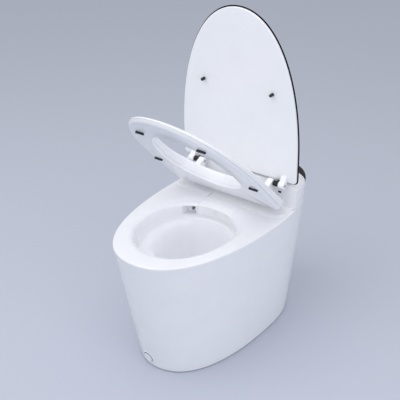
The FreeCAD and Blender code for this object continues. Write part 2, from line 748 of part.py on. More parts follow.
def tongue_body(inset, half_width):
    """The tongue: level with the rim, then a soft step up, its front cut to the bowl's own wall."""
    front, rear = -mouth_rear_y, tongue_rear_y + (overrun if inset else 0)
    foot = tongue_foot_z - (overrun if inset else 0)
    low, high = rim_height - inset, rim_height + tongue_rise - inset
    middle = (tongue_step_y + tongue_level_y) / 2
    runs = [[(rear, foot), (front, foot)], [(front, foot), (front, low)], [(front, low), (tongue_step_y, low)],
            [(tongue_step_y, low), (middle, low), (middle, high), (tongue_level_y, high)],
            [(tongue_level_y, high), (rear, high)], [(rear, high), (rear, foot)]]
    edges = []
    for poles in runs:
        curve = Part.BezierCurve()
        curve.setPoles([Vec(-half_width, y, z) for y, z in poles])
        edges.append(curve.toShape())
    return Part.Face(Part.Wire(edges)).extrude(Vec(half_width * 2, 0, 0)).cut(bowl_hollow(inset))


# The spray wand slides out along a line that falls towards the front
wand_fall = 7.0
wand_slope = math.radians(wand_fall)
wand_start_y = 43.4
wand_start_drop = 25.0
wand_start = Vec(0, wand_start_y, rim_height - wand_start_drop)
wand_way = Vec(0, math.cos(wand_slope), math.sin(wand_slope))
wand_down = Vec(0, math.sin(wand_slope), -math.cos(wand_slope))
wand_length = 150.0
wand_radius = 6.5
wand_bore = 3.0
wand_cap = 6.0
wand_cap_radius = 6.8
spray_hole_radius = 1.0
spray_hole_at = 15.0
guide_radius = 9.2
guide_low, guide_high = 50.0, 140.0
guide_gap = 0.35
guide_foot_half = 6.0
roller_radius = 5.0
roller_at = 38.0
roller_length = 11.0
roller_shaft = 2.0
wand_motor_radius = 10.5
wand_motor_x = 20.0
wand_motor_length = 26.0
wand_motor_foot = 9.0


def on_wand(along, below=0.0, x=0.0):
    return wand_start + wand_way * along + wand_down * below + Vec(x, 0, 0)


def wand_cover():
    body = tongue_body(0, tongue_half_width)
    inner = tongue_body(tongue_wall, tongue_half_width - tongue_wall)
    return body.cut(inner).cut(rod(wand_hole_radius, on_wand(-overrun * 2), on_wand(overrun * 2)))


def spray_wand():
    body = rod(wand_radius, on_wand(wand_cap), on_wand(wand_length))
    bore = rod(wand_bore, on_wand(wand_cap + overrun), on_wand(wand_length + overrun))
    spray = rod(spray_hole_radius, on_wand(spray_hole_at), on_wand(spray_hole_at, -wand_radius * 2))
    return body.cut(bore).cut(spray)


def wand_tip():
    return rod(wand_cap_radius, on_wand(0), on_wand(wand_cap - running_gap / 3))


def wand_guide():
    body = rod(guide_radius, on_wand(guide_low), on_wand(guide_high))
    for along in (guide_low + guide_foot_half * 2, guide_high - guide_foot_half * 4):
        y = on_wand(along).y
        body = body.fuse(block(-guide_foot_half, guide_foot_half, y - guide_foot_half, y + guide_foot_half,
                               rim_height - tray_depth + running_gap, on_wand(along).z))
    return body.cut(rod(wand_radius + guide_gap, on_wand(guide_low - overrun * 2), on_wand(guide_high + overrun)))


def wand_roller():
    middle = wand_radius + running_gap + roller_radius
    body = rod(roller_radius, on_wand(roller_at, middle, -roller_length / 2),
               on_wand(roller_at, middle, roller_length / 2))
    return body.fuse(rod(roller_shaft, on_wand(roller_at, middle), on_wand(roller_at, middle,
                                                                         wand_motor_x + overrun)))


def wand_motor():
    middle = wand_radius + running_gap + roller_radius
    centre = on_wand(roller_at, middle)
    motor_end_x = wand_motor_x + wand_motor_length
    body = rod(wand_motor_radius, centre + Vec(wand_motor_x, 0, 0), centre + Vec(motor_end_x, 0, 0))
    body = body.fuse(block(wand_motor_x + wand_motor_foot / 2, motor_end_x - wand_motor_foot / 2,
                           centre.y - wand_motor_foot, centre.y + wand_motor_foot,
                           rim_height - tray_depth + running_gap, centre.z))
    return body.cut(rod(roller_shaft + shaft_gap, centre, centre + Vec(wand_motor_x + overrun + seam_gap, 0, 0)))


# The white rear housing and the black rear cover
inner_over = 3.0
inner_half_width = rim_width / 2 + inner_over
inner_middle_y = 180.0
inner_rear_y = 288.0
inner_bulge = 0.62
crown_steps = [(-4.0, 187.0, 287.0), (1.0, 185.0, 285.0), (8.0, 178.0, 276.0), (10.0, 170.0, 268.0)]
crown_levels = [(shoulder_height + step, half_width, rear) for step, half_width, rear in crown_steps]
shoulder_levels = [(6.0, 0.0), (1.8, 1.8), (0.0, 6.0)]
housing_step = 3.7
pad_x, pad_half, pad_height = 141.0, 5.0, 6.0
pad_z = shoulder_height - 21.0
pad_depth = 1.8


def inner_wire(z, grow=0.0, half_width=inner_half_width, rear=inner_rear_y):
    return closed_wire(oval(half_width + grow, 0, inner_middle_y, rear + grow, inner_bulge, inner_bulge), z)


def inner_prism(grow=0.0):
    return stacked([inner_wire(rim_height - overrun, grow), inner_wire(shoulder_height * 2, grow)])


def shoulder_body(inset=0.0, drop=0.0):
    levels = [(plate_low_z - (overrun if inset else 0), inset)]
    levels += [(shoulder_height - drop - below, inset + step) for below, step in shoulder_levels]
    return skin_solid(levels)


def crown_body(inset=0.0):
    return stacked([inner_wire(z - inset, -inset, half_width, rear) for z, half_width, rear in crown_levels])


def rear_housing():
    body = shoulder_body().common(inner_prism()).fuse(crown_body())
    cavity = shoulder_body(plastic_wall, plastic_wall).common(inner_prism(-plastic_wall))
    cavity = cavity.fuse(crown_body(plastic_wall))
    cavity = cavity.cut(block(-rim_width, rim_width, 0, housing_front_y + plastic_wall, 0, shoulder_height * 2))
    body = body.cut(cavity)
    body = body.cut(block(-rim_width, rim_width, front_y, housing_front_y, 0, shoulder_height * 2))
    body = body.cut(block(-rim_width, rim_width, 0, rear_y * 2, 0, rim_height + housing_step))
    body = body.cut(collar_side(seam_gap, False))
    return body.cut(both_sides(front_pad(pipe_fit_gap)))


def front_pad(grow=0.0):
    """A small pad let into the housing's front under a hinge."""
    front = housing_front_y - (overrun if grow else 0)
    return block(pad_x - pad_half - grow, pad_x + pad_half + grow, front, housing_front_y + pad_depth + grow,
                 pad_z - pad_height / 2 - grow, pad_z + pad_height / 2 + grow)


# The cord's gland, in the collar's rear wall
gland_x = 84.0
gland_rise = 26.0
gland_z = rim_height + gland_rise
gland_radius = 9.0
gland_bore = 4.2
gland_flange_radius = 12.0
gland_flange = 3.0
gland_length = 24.0
gland_y = skin_y(gland_x, rim_height, 0.0, rear=True)


def rear_cover():
    behind = block(-rim_width, rim_width, inner_middle_y + ceramic_wall, rear_y * 2, rim_height, shoulder_height * 2)
    body = shoulder_body().common(behind).cut(inner_prism(seam_gap))
    return body.cut(shoulder_body(plastic_wall, plastic_wall)).cut(collar_side(seam_gap, False))


def cord_gland():
    slack = Vec(0, overrun * 2, 0)
    low, high = Vec(gland_x, gland_y - gland_length, gland_z), Vec(gland_x, gland_y + gland_flange, gland_z)
    body = rod(gland_radius, low, high)
    inside_y = gland_y - collar_wall * 3 / 2
    body = body.fuse(rod(gland_flange_radius, Vec(gland_x, inside_y - gland_flange, gland_z),
                         Vec(gland_x, inside_y, gland_z)))
    return body.cut(rod(gland_bore, low - slack, high + slack))


# What the rear unit holds: heater, valve, dryer, power supply, board, deodorizer
unit_floor_z = plate_top_z + running_gap
heater_box = (-137.0, -72.0, 166.0, 220.0, unit_floor_z, unit_floor_z + 44.0)
heater_corner = 9.0
valve_box = (-66.0, -34.0, 234.0, 276.0, unit_floor_z + 4.0, unit_floor_z + 29.0)
valve_foot = 10.0
valve_hose_z = unit_floor_z + 16.4
valve_hose_bend = 9.0
valve_hose_y = 200.0
supply_box = (-26.0, 24.0, 195.0, 262.0, unit_floor_z, unit_floor_z + 39.0)
deodorizer_box = (-136.0, -84.0, 224.0, 248.0, unit_floor_z, unit_floor_z + 29.0)
board_box = (116.0, 164.0, 168.0, 236.0, unit_floor_z + 7.4, unit_floor_z + 9.0)
board_post_radius = 3.0
board_inset = 8.0
chip_boxes = [(122.0, 146.0, 190.0, 212.0, 10.0), (150.0, 160.0, 186.0, 226.0, 7.0),
              (128.0, 146.0, 220.0, 230.0, 12.0)]
drive_box = (96.0, 158.0, 160.8, 200.0, shoulder_height - 11.3, shoulder_height + 6.7)
drive_corner = 6.0
vent_slots = 5
vent_width = 3.0
dryer_x, dryer_y = 75.0, 232.0
dryer_centre = Vec(dryer_x, dryer_y, unit_floor_z)
dryer_radius = 34.0
dryer_height = 36.0
dryer_wall = 2.4
dryer_wheel_radius = 26.0
dryer_wheel_height = 20.0
dryer_blades = 12
dryer_blade = 1.6
dryer_motor_radius = 15.0
dryer_motor_height = 17.0
duct_x0, duct_x1 = 28.0, 51.0
duct_front_y = 122.0
duct_turn_y = 186.0
duct_low_z, duct_top_z = rim_height - 9.0, rim_height - 1.5
outlet_height = 12.0
duct_wall = 1.6


def water_heater():
    body = block(*heater_box, heater_corner)
    outside, bore = socket(Vec(heater_box[1] - plastic_wall / 2, valve_hose_y, valve_hose_z), Vec(1, 0, 0),
                           thin_hose_radius)
    inner = block(heater_box[0] + plastic_wall, heater_box[1] - plastic_wall, heater_box[2] + plastic_wall,
                  heater_box[3] - plastic_wall, heater_box[4] + plastic_wall, heater_box[5] - plastic_wall,
                  heater_corner - plastic_wall)
    return body.fuse(outside).cut(inner).cut(bore)


def flow_valve():
    body = block(*valve_box, plastic_wall)
    body = body.fuse(block(valve_box[0], valve_box[1], valve_box[2], valve_box[2] + valve_foot,
                           unit_floor_z, valve_box[4] + plastic_wall))
    low_out, low_bore = socket(Vec(valve_x, valve_y, valve_box[4] + socket_wall), Vec(0, 0, -1), thin_hose_radius)
    side_out, side_bore = socket(Vec(valve_x, valve_box[2] + socket_wall, valve_hose_z), Vec(0, -1, 0),
                                 thin_hose_radius)
    return body.fuse(low_out).fuse(side_out).cut(low_bore).cut(side_bore)


valve_hose_path = [Vec(valve_x, valve_box[2] - running_gap, valve_hose_z), Vec(valve_x, valve_hose_y, valve_hose_z),
                   Vec(heater_box[1] + running_gap, valve_hose_y, valve_hose_z)]


def power_supply():
    body = block(*supply_box)
    for slot in range(vent_slots):
        y = supply_box[2] + (supply_box[3] - supply_box[2]) * (slot + 1) / (vent_slots + 1)
        body = body.cut(block(supply_box[0] + vent_width * 2, supply_box[1] - vent_width * 2, y - vent_width / 2,
                              y + vent_width / 2, supply_box[5] - vent_width, supply_box[5] + overrun))
    return body


def deodorizer():
    body = block(*deodorizer_box, drive_corner)
    middle = Vec((deodorizer_box[0] + deodorizer_box[1]) / 2, (deodorizer_box[2] + deodorizer_box[3]) / 2, 0)
    top = middle + Vec(0, 0, deodorizer_box[5])
    return body.cut(rod(spring_radius, top - Vec(0, 0, button_stem), top + Vec(0, 0, overrun)))


def control_board():
    body = block(*board_box)
    for x in (board_box[0] + board_inset, board_box[1] - board_inset):
        for y in (board_box[2] + board_inset / 2, board_box[3] - board_inset):
            body = body.fuse(rod(board_post_radius, Vec(x, y, unit_floor_z), Vec(x, y, board_box[4])))
    for x0, x1, y0, y1, height in chip_boxes:
        body = body.fuse(block(x0, x1, y0, y1, board_box[4], board_box[5] + height))
    return body


def dryer_housing():
    up, wall_up = Vec(0, 0, dryer_height), Vec(0, 0, dryer_wall)
    outlet_y = duct_turn_y - dryer_wall
    body = rod(dryer_radius, dryer_centre, dryer_centre + up)
    body = body.fuse(block(duct_x0 - dryer_wall, duct_x1 + dryer_wall, outlet_y, dryer_y,
                           unit_floor_z, unit_floor_z + outlet_height))
    body = body.cut(rod(dryer_radius - dryer_wall, dryer_centre + wall_up, dryer_centre + up - wall_up))
    body = body.cut(rod(shaft_radius + shaft_gap, dryer_centre + up / 2, dryer_centre + up * 2))
    body = body.cut(block(duct_x0, duct_x1, duct_turn_y, dryer_y, unit_floor_z + dryer_wall,
                          unit_floor_z + outlet_height - dryer_wall))
    return body.cut(block(duct_x0 + duct_wall, duct_x1 - duct_wall, duct_turn_y + duct_wall,
                          dryer_y - dryer_radius - dryer_wall, unit_floor_z - overrun, unit_floor_z + dryer_wall * 2))


dryer_wheel_low = dryer_centre + Vec(0, 0, dryer_height / 4)
dryer_motor_low = dryer_centre + Vec(0, 0, dryer_height + running_gap)


def dryer_impeller():
    wheel = bladed_wheel(dryer_wheel_low, Vec(0, 0, 1), Vec(1, 0, 0), dryer_wheel_radius, dryer_wall,
                         dryer_blades, dryer_blade, dryer_wheel_height - dryer_wall)
    return wheel.fuse(rod(shaft_radius, dryer_wheel_low, dryer_motor_low + Vec(0, 0, dryer_motor_height / 2)))


def dryer_motor():
    body = rod(dryer_motor_radius, dryer_motor_low, dryer_motor_low + Vec(0, 0, dryer_motor_height))
    return body.cut(rod(shaft_radius + shaft_gap, dryer_motor_low - Vec(0, 0, overrun),
                        dryer_motor_low + Vec(0, 0, dryer_motor_height / 2 + seam_gap)))


def dryer_duct():
    """A flat duct under the base plate, with a riser at its rear end."""
    rear, riser_top = dryer_y - dryer_radius - running_gap, unit_floor_z - running_gap
    body = block(duct_x0, duct_x1, duct_front_y, rear, duct_low_z, duct_top_z)
    body = body.fuse(block(duct_x0, duct_x1, duct_turn_y, rear, duct_low_z, riser_top))
    body = body.cut(block(duct_x0 + duct_wall, duct_x1 - duct_wall, duct_front_y - overrun, rear - duct_wall,
                          duct_low_z + duct_wall, duct_top_z - duct_wall))
    return body.cut(block(duct_x0 + duct_wall, duct_x1 - duct_wall, duct_turn_y + duct_wall, rear - duct_wall,
                          duct_low_z + duct_wall, riser_top + overrun))


# The hinge line that the seat and the lid share, and the blocks that hold its pins
hinge_y = 139.5
hinge_rise = 12.0
hinge_z = shoulder_height + hinge_rise
hinge = Vec(0, hinge_y, hinge_z)
seat_raise = 44.35
lid_raise = 86.54
pin_radius = 4.0
pin_gap = 0.05
pin_x0, pin_x1 = 110.0, 168.0
block_x0, block_x1 = 131.0, 147.0
block_radius = 8.0
block_foot_top_z = hinge_z + seam_gap
block_foot_rise = 10.5
block_foot_rear_y = 177.5
seat_ear_x0, seat_ear_x1 = 112.0, 129.0
lid_ear_x0, lid_ear_x1 = 149.0, 166.0
ear_radius = 10.5


def raised(shape, angle):
    """Turns a shape that lies flat with its hinge at the origin up to its angle."""
    shape.rotate(Vec(0, 0, 0), Vec(1, 0, 0), -angle)
    shape.translate(hinge)
    return shape


def hinge_block():
    body = rod(block_radius, hinge + Vec(block_x0, 0, 0), hinge + Vec(block_x1, 0, 0))
    body = body.fuse(block(block_x0, block_x1, hinge_y, housing_front_y - seam_gap, hinge_z - block_radius, hinge_z))
    body = body.fuse(block(block_x0, block_x1, hinge_y, block_foot_rear_y, shoulder_height + block_foot_rise,
                           block_foot_top_z))
    return body.cut(rod(pin_radius, hinge, hinge + Vec(rim_width, 0, 0)))


def hinge_pin():
    return rod(pin_radius, hinge + Vec(pin_x0, 0, 0), hinge + Vec(pin_x1, 0, 0))


# The lid, drawn flat: the hinge at the origin, the tip at -Y, the inside at the panel height
lid_half_width = 198.0
lid_tip = 483.0
lid_foot = 2.0
lid_straight = 77.0
lid_corner = 14.0
lid_bulge = 0.60
lid_edge_w = 12.4
lid_wall = 3.0
panel_levels = [(0.0, 5.0), (1.4, 3.6), (5.6, 3.6)]
shell_levels = [(6.0, 0.0), (8.8, 0.6), (12.0, 3.4), (15.4, 8.0), (19.0, 15.0), (21.6, 27.0)]
lid_bumper_radius = 4.5
lid_bumper_length = 12.0
lid_bumper_x, lid_bumper_u = 113.0, 260.4
lid_ear_u = 24.0
corner_bulge = 0.55


def shield(half_width, tip, foot, straight, corner, bulge, w):
    """A level outline: a curved tip, straight sides and a straight foot with rounded corners."""
    bow = straight + (tip - straight) * bulge
    near, turn = foot + corner, corner * (1 - corner_bulge)
    right = [(half_width - corner, foot), (half_width - turn, foot), (half_width, foot + turn),
             (half_width, near), (half_width, straight), (half_width, bow), (half_width * bulge, tip), (0, tip)]
    left = [(-a, u) for a, u in reversed(right)]
    right = [Vec(a, -u, w) for a, u in right]
    left = [Vec(a, -u, w) for a, u in left]
    edges = []
    for poles in (right[:4], right[3:5], right[4:], left[:4], left[3:5], left[4:], [left[-1], right[0]]):
        curve = Part.BezierCurve()
        curve.setPoles(poles)
        edges.append(curve.toShape())
    return Part.Wire(edges)


def lid_solid(levels, inset=0.0, lift=0.0):
    wires = [shield(lid_half_width - inset - step, lid_tip - inset - step, lid_foot + inset + step,
                    lid_straight, lid_corner, lid_bulge, lid_edge_w + w + lift) for w, step in levels]
    return stacked(wires)


def lid_shell():
    slack = [(-overrun, shell_levels[0][1])]
    return raised(lid_solid(shell_levels).cut(lid_solid(slack + shell_levels[1:], lid_wall, -lid_wall)), lid_raise)


def lid_panel():
    return raised(lid_solid(panel_levels), lid_raise)


def lid_bumpers():
    top = Vec(lid_bumper_x, -lid_bumper_u, lid_edge_w - pin_gap)
    return raised(both_sides(rod(lid_bumper_radius, top - Vec(0, 0, lid_bumper_length), top)), lid_raise)


def lid_hinge_arms():
    body = rod(ear_radius, Vec(lid_ear_x0, 0, 0), Vec(lid_ear_x1, 0, 0))
    outline = [(ear_radius, 0), (0, lid_edge_w - pin_gap), (-lid_ear_u, lid_edge_w - pin_gap),
               (-lid_ear_u, lid_edge_w - lid_wall), (-ear_radius, 0)]
    body = body.fuse(plate(outline, lid_ear_x0, lid_ear_x1, "x"))
    body = body.cut(rod(pin_radius + pin_gap, Vec(0, 0, 0), Vec(rim_width, 0, 0)))
    return raised(both_sides(body), lid_raise)


# The seat ring, drawn flat: its underside at seat_low_w, its hole an oval
seat_low_w = -71.0
seat_half_width = 184.5
seat_tip = 458.8
seat_rear_u = -17.0
seat_straight = 161.8
seat_corner = 26.0
seat_bulge = 0.575
seat_wall = 3.2
# Each level of its outside: an inset, and its height above the underside at the rear and at the tip
seat_levels = [(8.5, 0.0, 0.0), (4.5, 3.0, 3.0), (0.0, 9.0, 9.0), (0.8, 27.0, 11.0), (4.0, 30.0, 14.0),
               (12.0, 34.5, 16.5), (26.0, 41.0, 18.5), (44.0, 46.0, 20.0)]
seat_split = 8.0
seat_split_gap = 0.4
seat_dish_depth = 5.0
seat_dish_run = 22.0
seat_dish_share = 1.4
seat_sweep_radius = 71.2
hole_half_width = 122.0
hole_front_u, hole_middle_u, hole_rear_u = 368.0, 178.5, 59.0
hole_bulge = 0.56
hole_draft = 5.0
heater_wire_radius = 0.9
heater_loops = [(12.0, 8.0), (20.0, 7.0), (28.0, 8.5)]
seat_hollow_low = 4.0
seat_ear_front_u = 20.8
bumper_length = 28.0
bumper_width = 7.0
bumper_height = 5.0
bumper_places = [(98.0, 358.0), (160.0, 150.0)]


def tilted(wire, rear, tip):
    """Tilts a level wire so that it lies at one height at the seat's rear and at another at its tip."""
    wire.rotate(Vec(0, -seat_rear_u, 0), Vec(1, 0, 0), math.degrees(math.atan2(rear - tip, seat_tip - seat_rear_u)))
    wire.translate(Vec(0, 0, seat_low_w + rear))
    return wire


def seat_wire(level, inset=0.0, drop=0.0):
    step, rear, tip = level
    wire = shield(seat_half_width - step - inset, seat_tip - step - inset, seat_rear_u + inset, seat_straight,
                  seat_corner - inset / 2, seat_bulge, 0.0)
    return tilted(wire, rear - drop, tip - drop)


def seat_stack(inset=0.0, drop=0.0, low=None):
    """The seat without its hole. A drop lowers the upper levels, for the hollow and the heater."""
    wires = [seat_wire(level, inset, drop if at > 2 else 0.0) for at, level in enumerate(seat_levels)]
    if low is not None:
        wires = [seat_wire((seat_levels[2][0], low, low), inset)] + wires[3:]
    return stacked(wires).cut(seat_dish(drop))


def seat_oval(grow):
    return oval(hole_half_width + grow, -hole_front_u - grow, -hole_middle_u, -hole_rear_u + grow,
                hole_bulge, hole_bulge)


def seat_hole(grow=0.0):
    wires = []
    for height, shrink in ((-overrun, 0.0), (seat_levels[-1][1] + overrun, hole_draft)):
        wires.append(closed_wire(seat_oval(grow - shrink), seat_low_w + height))
    return stacked(wires)


def seat_dish(drop=0.0):
    """The shallow fall of the seat's top surface towards the hole."""
    rear, tip = seat_levels[-1][1] - drop, seat_levels[-1][2] - drop
    wires = []
    for side in (-seat_dish_share, 1):
        wire = closed_wire(seat_oval(seat_dish_run * (1 + side)), 0)
        wires.append(tilted(wire, rear + side * seat_dish_depth, tip + side * seat_dish_depth))
    return stacked(wires)


def seat_slice(low, high):
    return block(-rim_width, rim_width, -lid_tip, ear_radius * 2, seat_low_w + low, seat_low_w + high)


def rear_sweep(radius):
    """What lies outside the circle that the seat's rear corner may sweep about the hinge."""
    corner = block(-rim_width, rim_width, 0, seat_sweep_radius, seat_low_w * 2, 0)
    return corner.cut(rod(radius, Vec(-rim_width * 2, 0, 0), Vec(rim_width * 2, 0, 0)))


def seat_base():
    body = seat_stack().cut(seat_hole()).common(seat_slice(0, seat_split)).cut(rear_sweep(seat_sweep_radius))
    hollow = seat_stack(seat_wall).cut(seat_hole(seat_wall)).common(seat_slice(seat_wall, seat_split * 2))
    return raised(body.cut(hollow.cut(rear_sweep(seat_sweep_radius - seat_wall))), seat_raise)


def seat_top():
    body = seat_stack().cut(seat_hole()).cut(seat_slice(-overrun, seat_split + seat_split_gap))
    hollow = seat_stack(seat_wall, seat_wall, seat_hollow_low).cut(seat_hole(seat_wall))
    return raised(body.cut(hollow), seat_raise)


def seat_heater():
    """Loops of heating wire under the top surface, each an oval round the hole."""
    loops = []
    for grow, drop in heater_loops:
        path = tilted(closed_wire(seat_oval(grow), 0), seat_levels[-1][1] - drop, seat_levels[-1][2] - drop)
        start = path.Edges[0]
        circle = Part.makeCircle(heater_wire_radius, start.valueAt(start.FirstParameter),
                                 start.tangentAt(start.FirstParameter))
        loops.append(path.makePipeShell([Part.Wire([circle])], True, False))
    return raised(together(loops), seat_raise)


def seat_bumpers():
    pieces = []
    for x, u in bumper_places:
        pad = block(x - bumper_length / 2, x + bumper_length / 2, -u - bumper_width / 2, -u + bumper_width / 2,
                    seat_low_w - bumper_height, seat_low_w - pin_gap, bumper_width / 2 - pin_gap)
        pieces.append(both_sides(pad))
    return raised(together(pieces), seat_raise)


def seat_hinge_arms():
    body = rod(ear_radius, Vec(seat_ear_x0, 0, 0), Vec(seat_ear_x1, 0, 0))
    rear, tip = seat_levels[-1][1:]
    fall = (rear - tip) / (seat_tip - seat_rear_u)
    foot = seat_low_w + rear + pin_gap
    outline = [(-seat_rear_u, foot), (ear_radius, 0), (-ear_radius, 0),
               (-seat_ear_front_u, foot - fall * (seat_ear_front_u - seat_rear_u))]
    body = body.fuse(plate(outline, seat_ear_x0, seat_ear_x1, "x"))
    body = body.cut(rod(pin_radius + pin_gap, Vec(0, 0, 0), Vec(rim_width, 0, 0)))
    return raised(both_sides(body), seat_raise)


save("pedestal", pedestal())
save("floor_gasket", floor_gasket())
save("drain_collar", drain_collar())
save("drain_seal", tube(drain_seal_radius, sleeve_radius + pipe_fit_gap, floor_point,
                        sleeve_seat - Vec(0, 0, running_gap)))
save("trap_pipe", swept_tube(trap_path, trap_bend, trap_radius, trap_wall))
save("flush_tank", flush_tank())
save("tank_cap", rod(tank_cap_radius, cap_centre, cap_centre + Vec(0, 0, tank_cap_height)))
save("pump_housing", pump_housing())
save("pump_impeller", pump_impeller())
save("pump_motor", pump_motor())
save("suction_hose", tube(hose_radius, hose_radius - hose_wall, suction_start, suction_end))
save("jet_hose", swept_tube(jet_path, jet_bend, hose_radius, hose_wall))
save("jet_block", jet_block())
save("service_panel", service_panel())
save("inlet_valve", inlet_valve())
save("fill_hose", swept_tube(fill_path, fill_bend, thin_hose_radius, thin_hose_wall))
save("supply_hose", tube(thin_hose_radius, thin_hose_radius - thin_hose_wall,
                         supply_start + Vec(0, 0, socket_wall + running_gap),
                         Vec(valve_x, valve_y, valve_box[4] + socket_wall)))
save("floor_brackets", both_sides(floor_bracket()))
save("foot_button", foot_button())
save("button_bezel", button_bezel())
save("button_spring", button_spring())
save("button_switch", button_switch())
save("base_plate", base_plate())
save("deck_bolts", deck_bolt_set())
save("wand_cover", wand_cover())
save("wand_guide", wand_guide())
save("spray_wand", spray_wand())
save("wand_tip", wand_tip())
save("wand_roller", wand_roller())
save("wand_motor", wand_motor())
save("rear_housing", rear_housing())
save("front_pads", both_sides(front_pad()))
save("rear_cover", rear_cover())
save("cord_gland", cord_gland())
save("water_heater", water_heater())
save("flow_valve", flow_valve())
save("heater_hose", swept_tube(valve_hose_path, valve_hose_bend, thin_hose_radius, thin_hose_wall))
save("power_supply", power_supply())
save("deodorizer", deodorizer())
save("control_board", control_board())
save("dryer_housing", dryer_housing())
save("dryer_impeller", dryer_impeller())
save("dryer_motor", dryer_motor())
save("dryer_duct", dryer_duct())
save("lid_drive", block(*drive_box, drive_corner))
save("seat_drive", mirrored(block(*drive_box, drive_corner)))
save("hinge_blocks", both_sides(hinge_block()))
save("hinge_pins", both_sides(hinge_pin()))
save("lid_shell", lid_shell())
save("lid_panel", lid_panel())
save("lid_bumpers", lid_bumpers())
save("lid_hinge_arms", lid_hinge_arms())
save("seat_base", seat_base())
save("seat_top", seat_top())
save("seat_heater", seat_heater())
save("seat_bumpers", seat_bumpers())
save("seat_hinge_arms", seat_hinge_arms())
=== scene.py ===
# %% [markdown]
# A smart toilet, seen as it stands: the lid up, the seat ring half raised.
# The solids come from the shared frame. This lesson gives them their finishes,
# and swaps the curved, polished pieces for smooth surfaces worked out as arrays.
# The scene is in metres. Outlines are written in millimetres and scaled by mm at the end.
# The front of the toilet looks along -Y.

# %% Load the frame
import bmesh
import bpy
import json
import math
import numpy as np
from mathutils import Matrix, Vector


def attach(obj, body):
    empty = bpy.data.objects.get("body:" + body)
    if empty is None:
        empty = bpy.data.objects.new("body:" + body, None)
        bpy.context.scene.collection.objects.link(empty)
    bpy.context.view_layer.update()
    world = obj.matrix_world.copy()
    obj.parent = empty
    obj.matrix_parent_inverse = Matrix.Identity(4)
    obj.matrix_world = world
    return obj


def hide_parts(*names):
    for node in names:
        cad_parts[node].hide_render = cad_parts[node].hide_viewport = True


mm = 0.001
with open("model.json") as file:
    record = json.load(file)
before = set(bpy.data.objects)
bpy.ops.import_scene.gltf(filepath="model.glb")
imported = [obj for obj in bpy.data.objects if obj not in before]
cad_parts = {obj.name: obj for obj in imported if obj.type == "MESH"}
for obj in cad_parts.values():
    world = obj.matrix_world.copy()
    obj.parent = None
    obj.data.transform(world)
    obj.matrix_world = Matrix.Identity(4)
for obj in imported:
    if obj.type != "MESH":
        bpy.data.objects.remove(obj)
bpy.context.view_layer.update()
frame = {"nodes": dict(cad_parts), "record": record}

# %% [markdown]
# The camera stands in front and to the right, a little over head height, and looks down.
# Its place, its tilt and its lens were fitted to the outlines of the real piece,
# so it is placed with a matrix and not with an aim target.

# %% Camera
azimuth, pitch, roll = 0.630153, 0.489077, 0.0060566
focal_px, frame_px, sensor_mm = 737.8, 400.0, 36.0
camera_place = (1.0640, -1.4954, 1.4130)
ahead = Vector((-math.sin(azimuth) * math.cos(pitch),
                math.cos(azimuth) * math.cos(pitch),
                -math.sin(pitch)))
level = Vector((math.cos(azimuth), math.sin(azimuth), 0.0))
over = level.cross(ahead)
right = math.cos(roll) * level + math.sin(roll) * over
up = math.cos(roll) * over - math.sin(roll) * level
camera_data = bpy.data.cameras.new("photo_camera")
camera_data.sensor_width = sensor_mm
camera_data.lens = focal_px / frame_px * sensor_mm
camera = bpy.data.objects.new("photo_camera", camera_data)
bpy.context.scene.collection.objects.link(camera)
turn = Matrix((right, up, -ahead)).transposed().to_4x4()
camera.matrix_world = Matrix.Translation(camera_place) @ turn
bpy.context.scene.camera = camera
bpy.context.scene.view_settings.view_transform = "Standard"
print("lens", round(camera_data.lens, 2), "mm")

# %% [markdown]
# Two helpers serve every finish. One turns a colour from a paint chart into linear light,
# which is what shaders add up. The other adds one node with its settings and its links.

# %% Colour and node helpers
patch_width = 0.060


def linear(code):
    """An sRGB hex colour as linear light: each share is ((c + 0.055) / 1.055) ** 2.4."""
    shares = np.array([int(code[i:i + 2], 16) for i in (1, 3, 5)]) / 255.0
    low = shares / 12.92
    high = ((shares + 0.055) / 1.055) ** 2.4
    return (*[float(v) for v in np.where(shares <= 0.04045, low, high)], 1.0)


def add_node(tree, kind, settings=None, **inputs):
    """Adds one node. Settings are its own properties; inputs are values, or sockets to link.

    An input is named by its label with underscores, or by i and its number.
    """
    made = tree.nodes.new(kind)
    for key, value in (settings or {}).items():
        setattr(made, key, value)
    for key, value in inputs.items():
        place = int(key[1:]) if key[1:].isdigit() else key.replace("_", " ")
        if isinstance(value, bpy.types.NodeSocket):
            tree.links.new(value, made.inputs[place])
        else:
            made.inputs[place].default_value = value
    return made


def ramp_between(tree, source, low, high, first, second):
    """A colour ramp from one colour to another between two values of the source."""
    ramp = add_node(tree, "ShaderNodeValToRGB", i0=source)
    stops = ramp.color_ramp.elements
    stops[0].position, stops[1].position = low, high
    stops[0].color, stops[1].color = first, second
    return ramp.outputs[0]


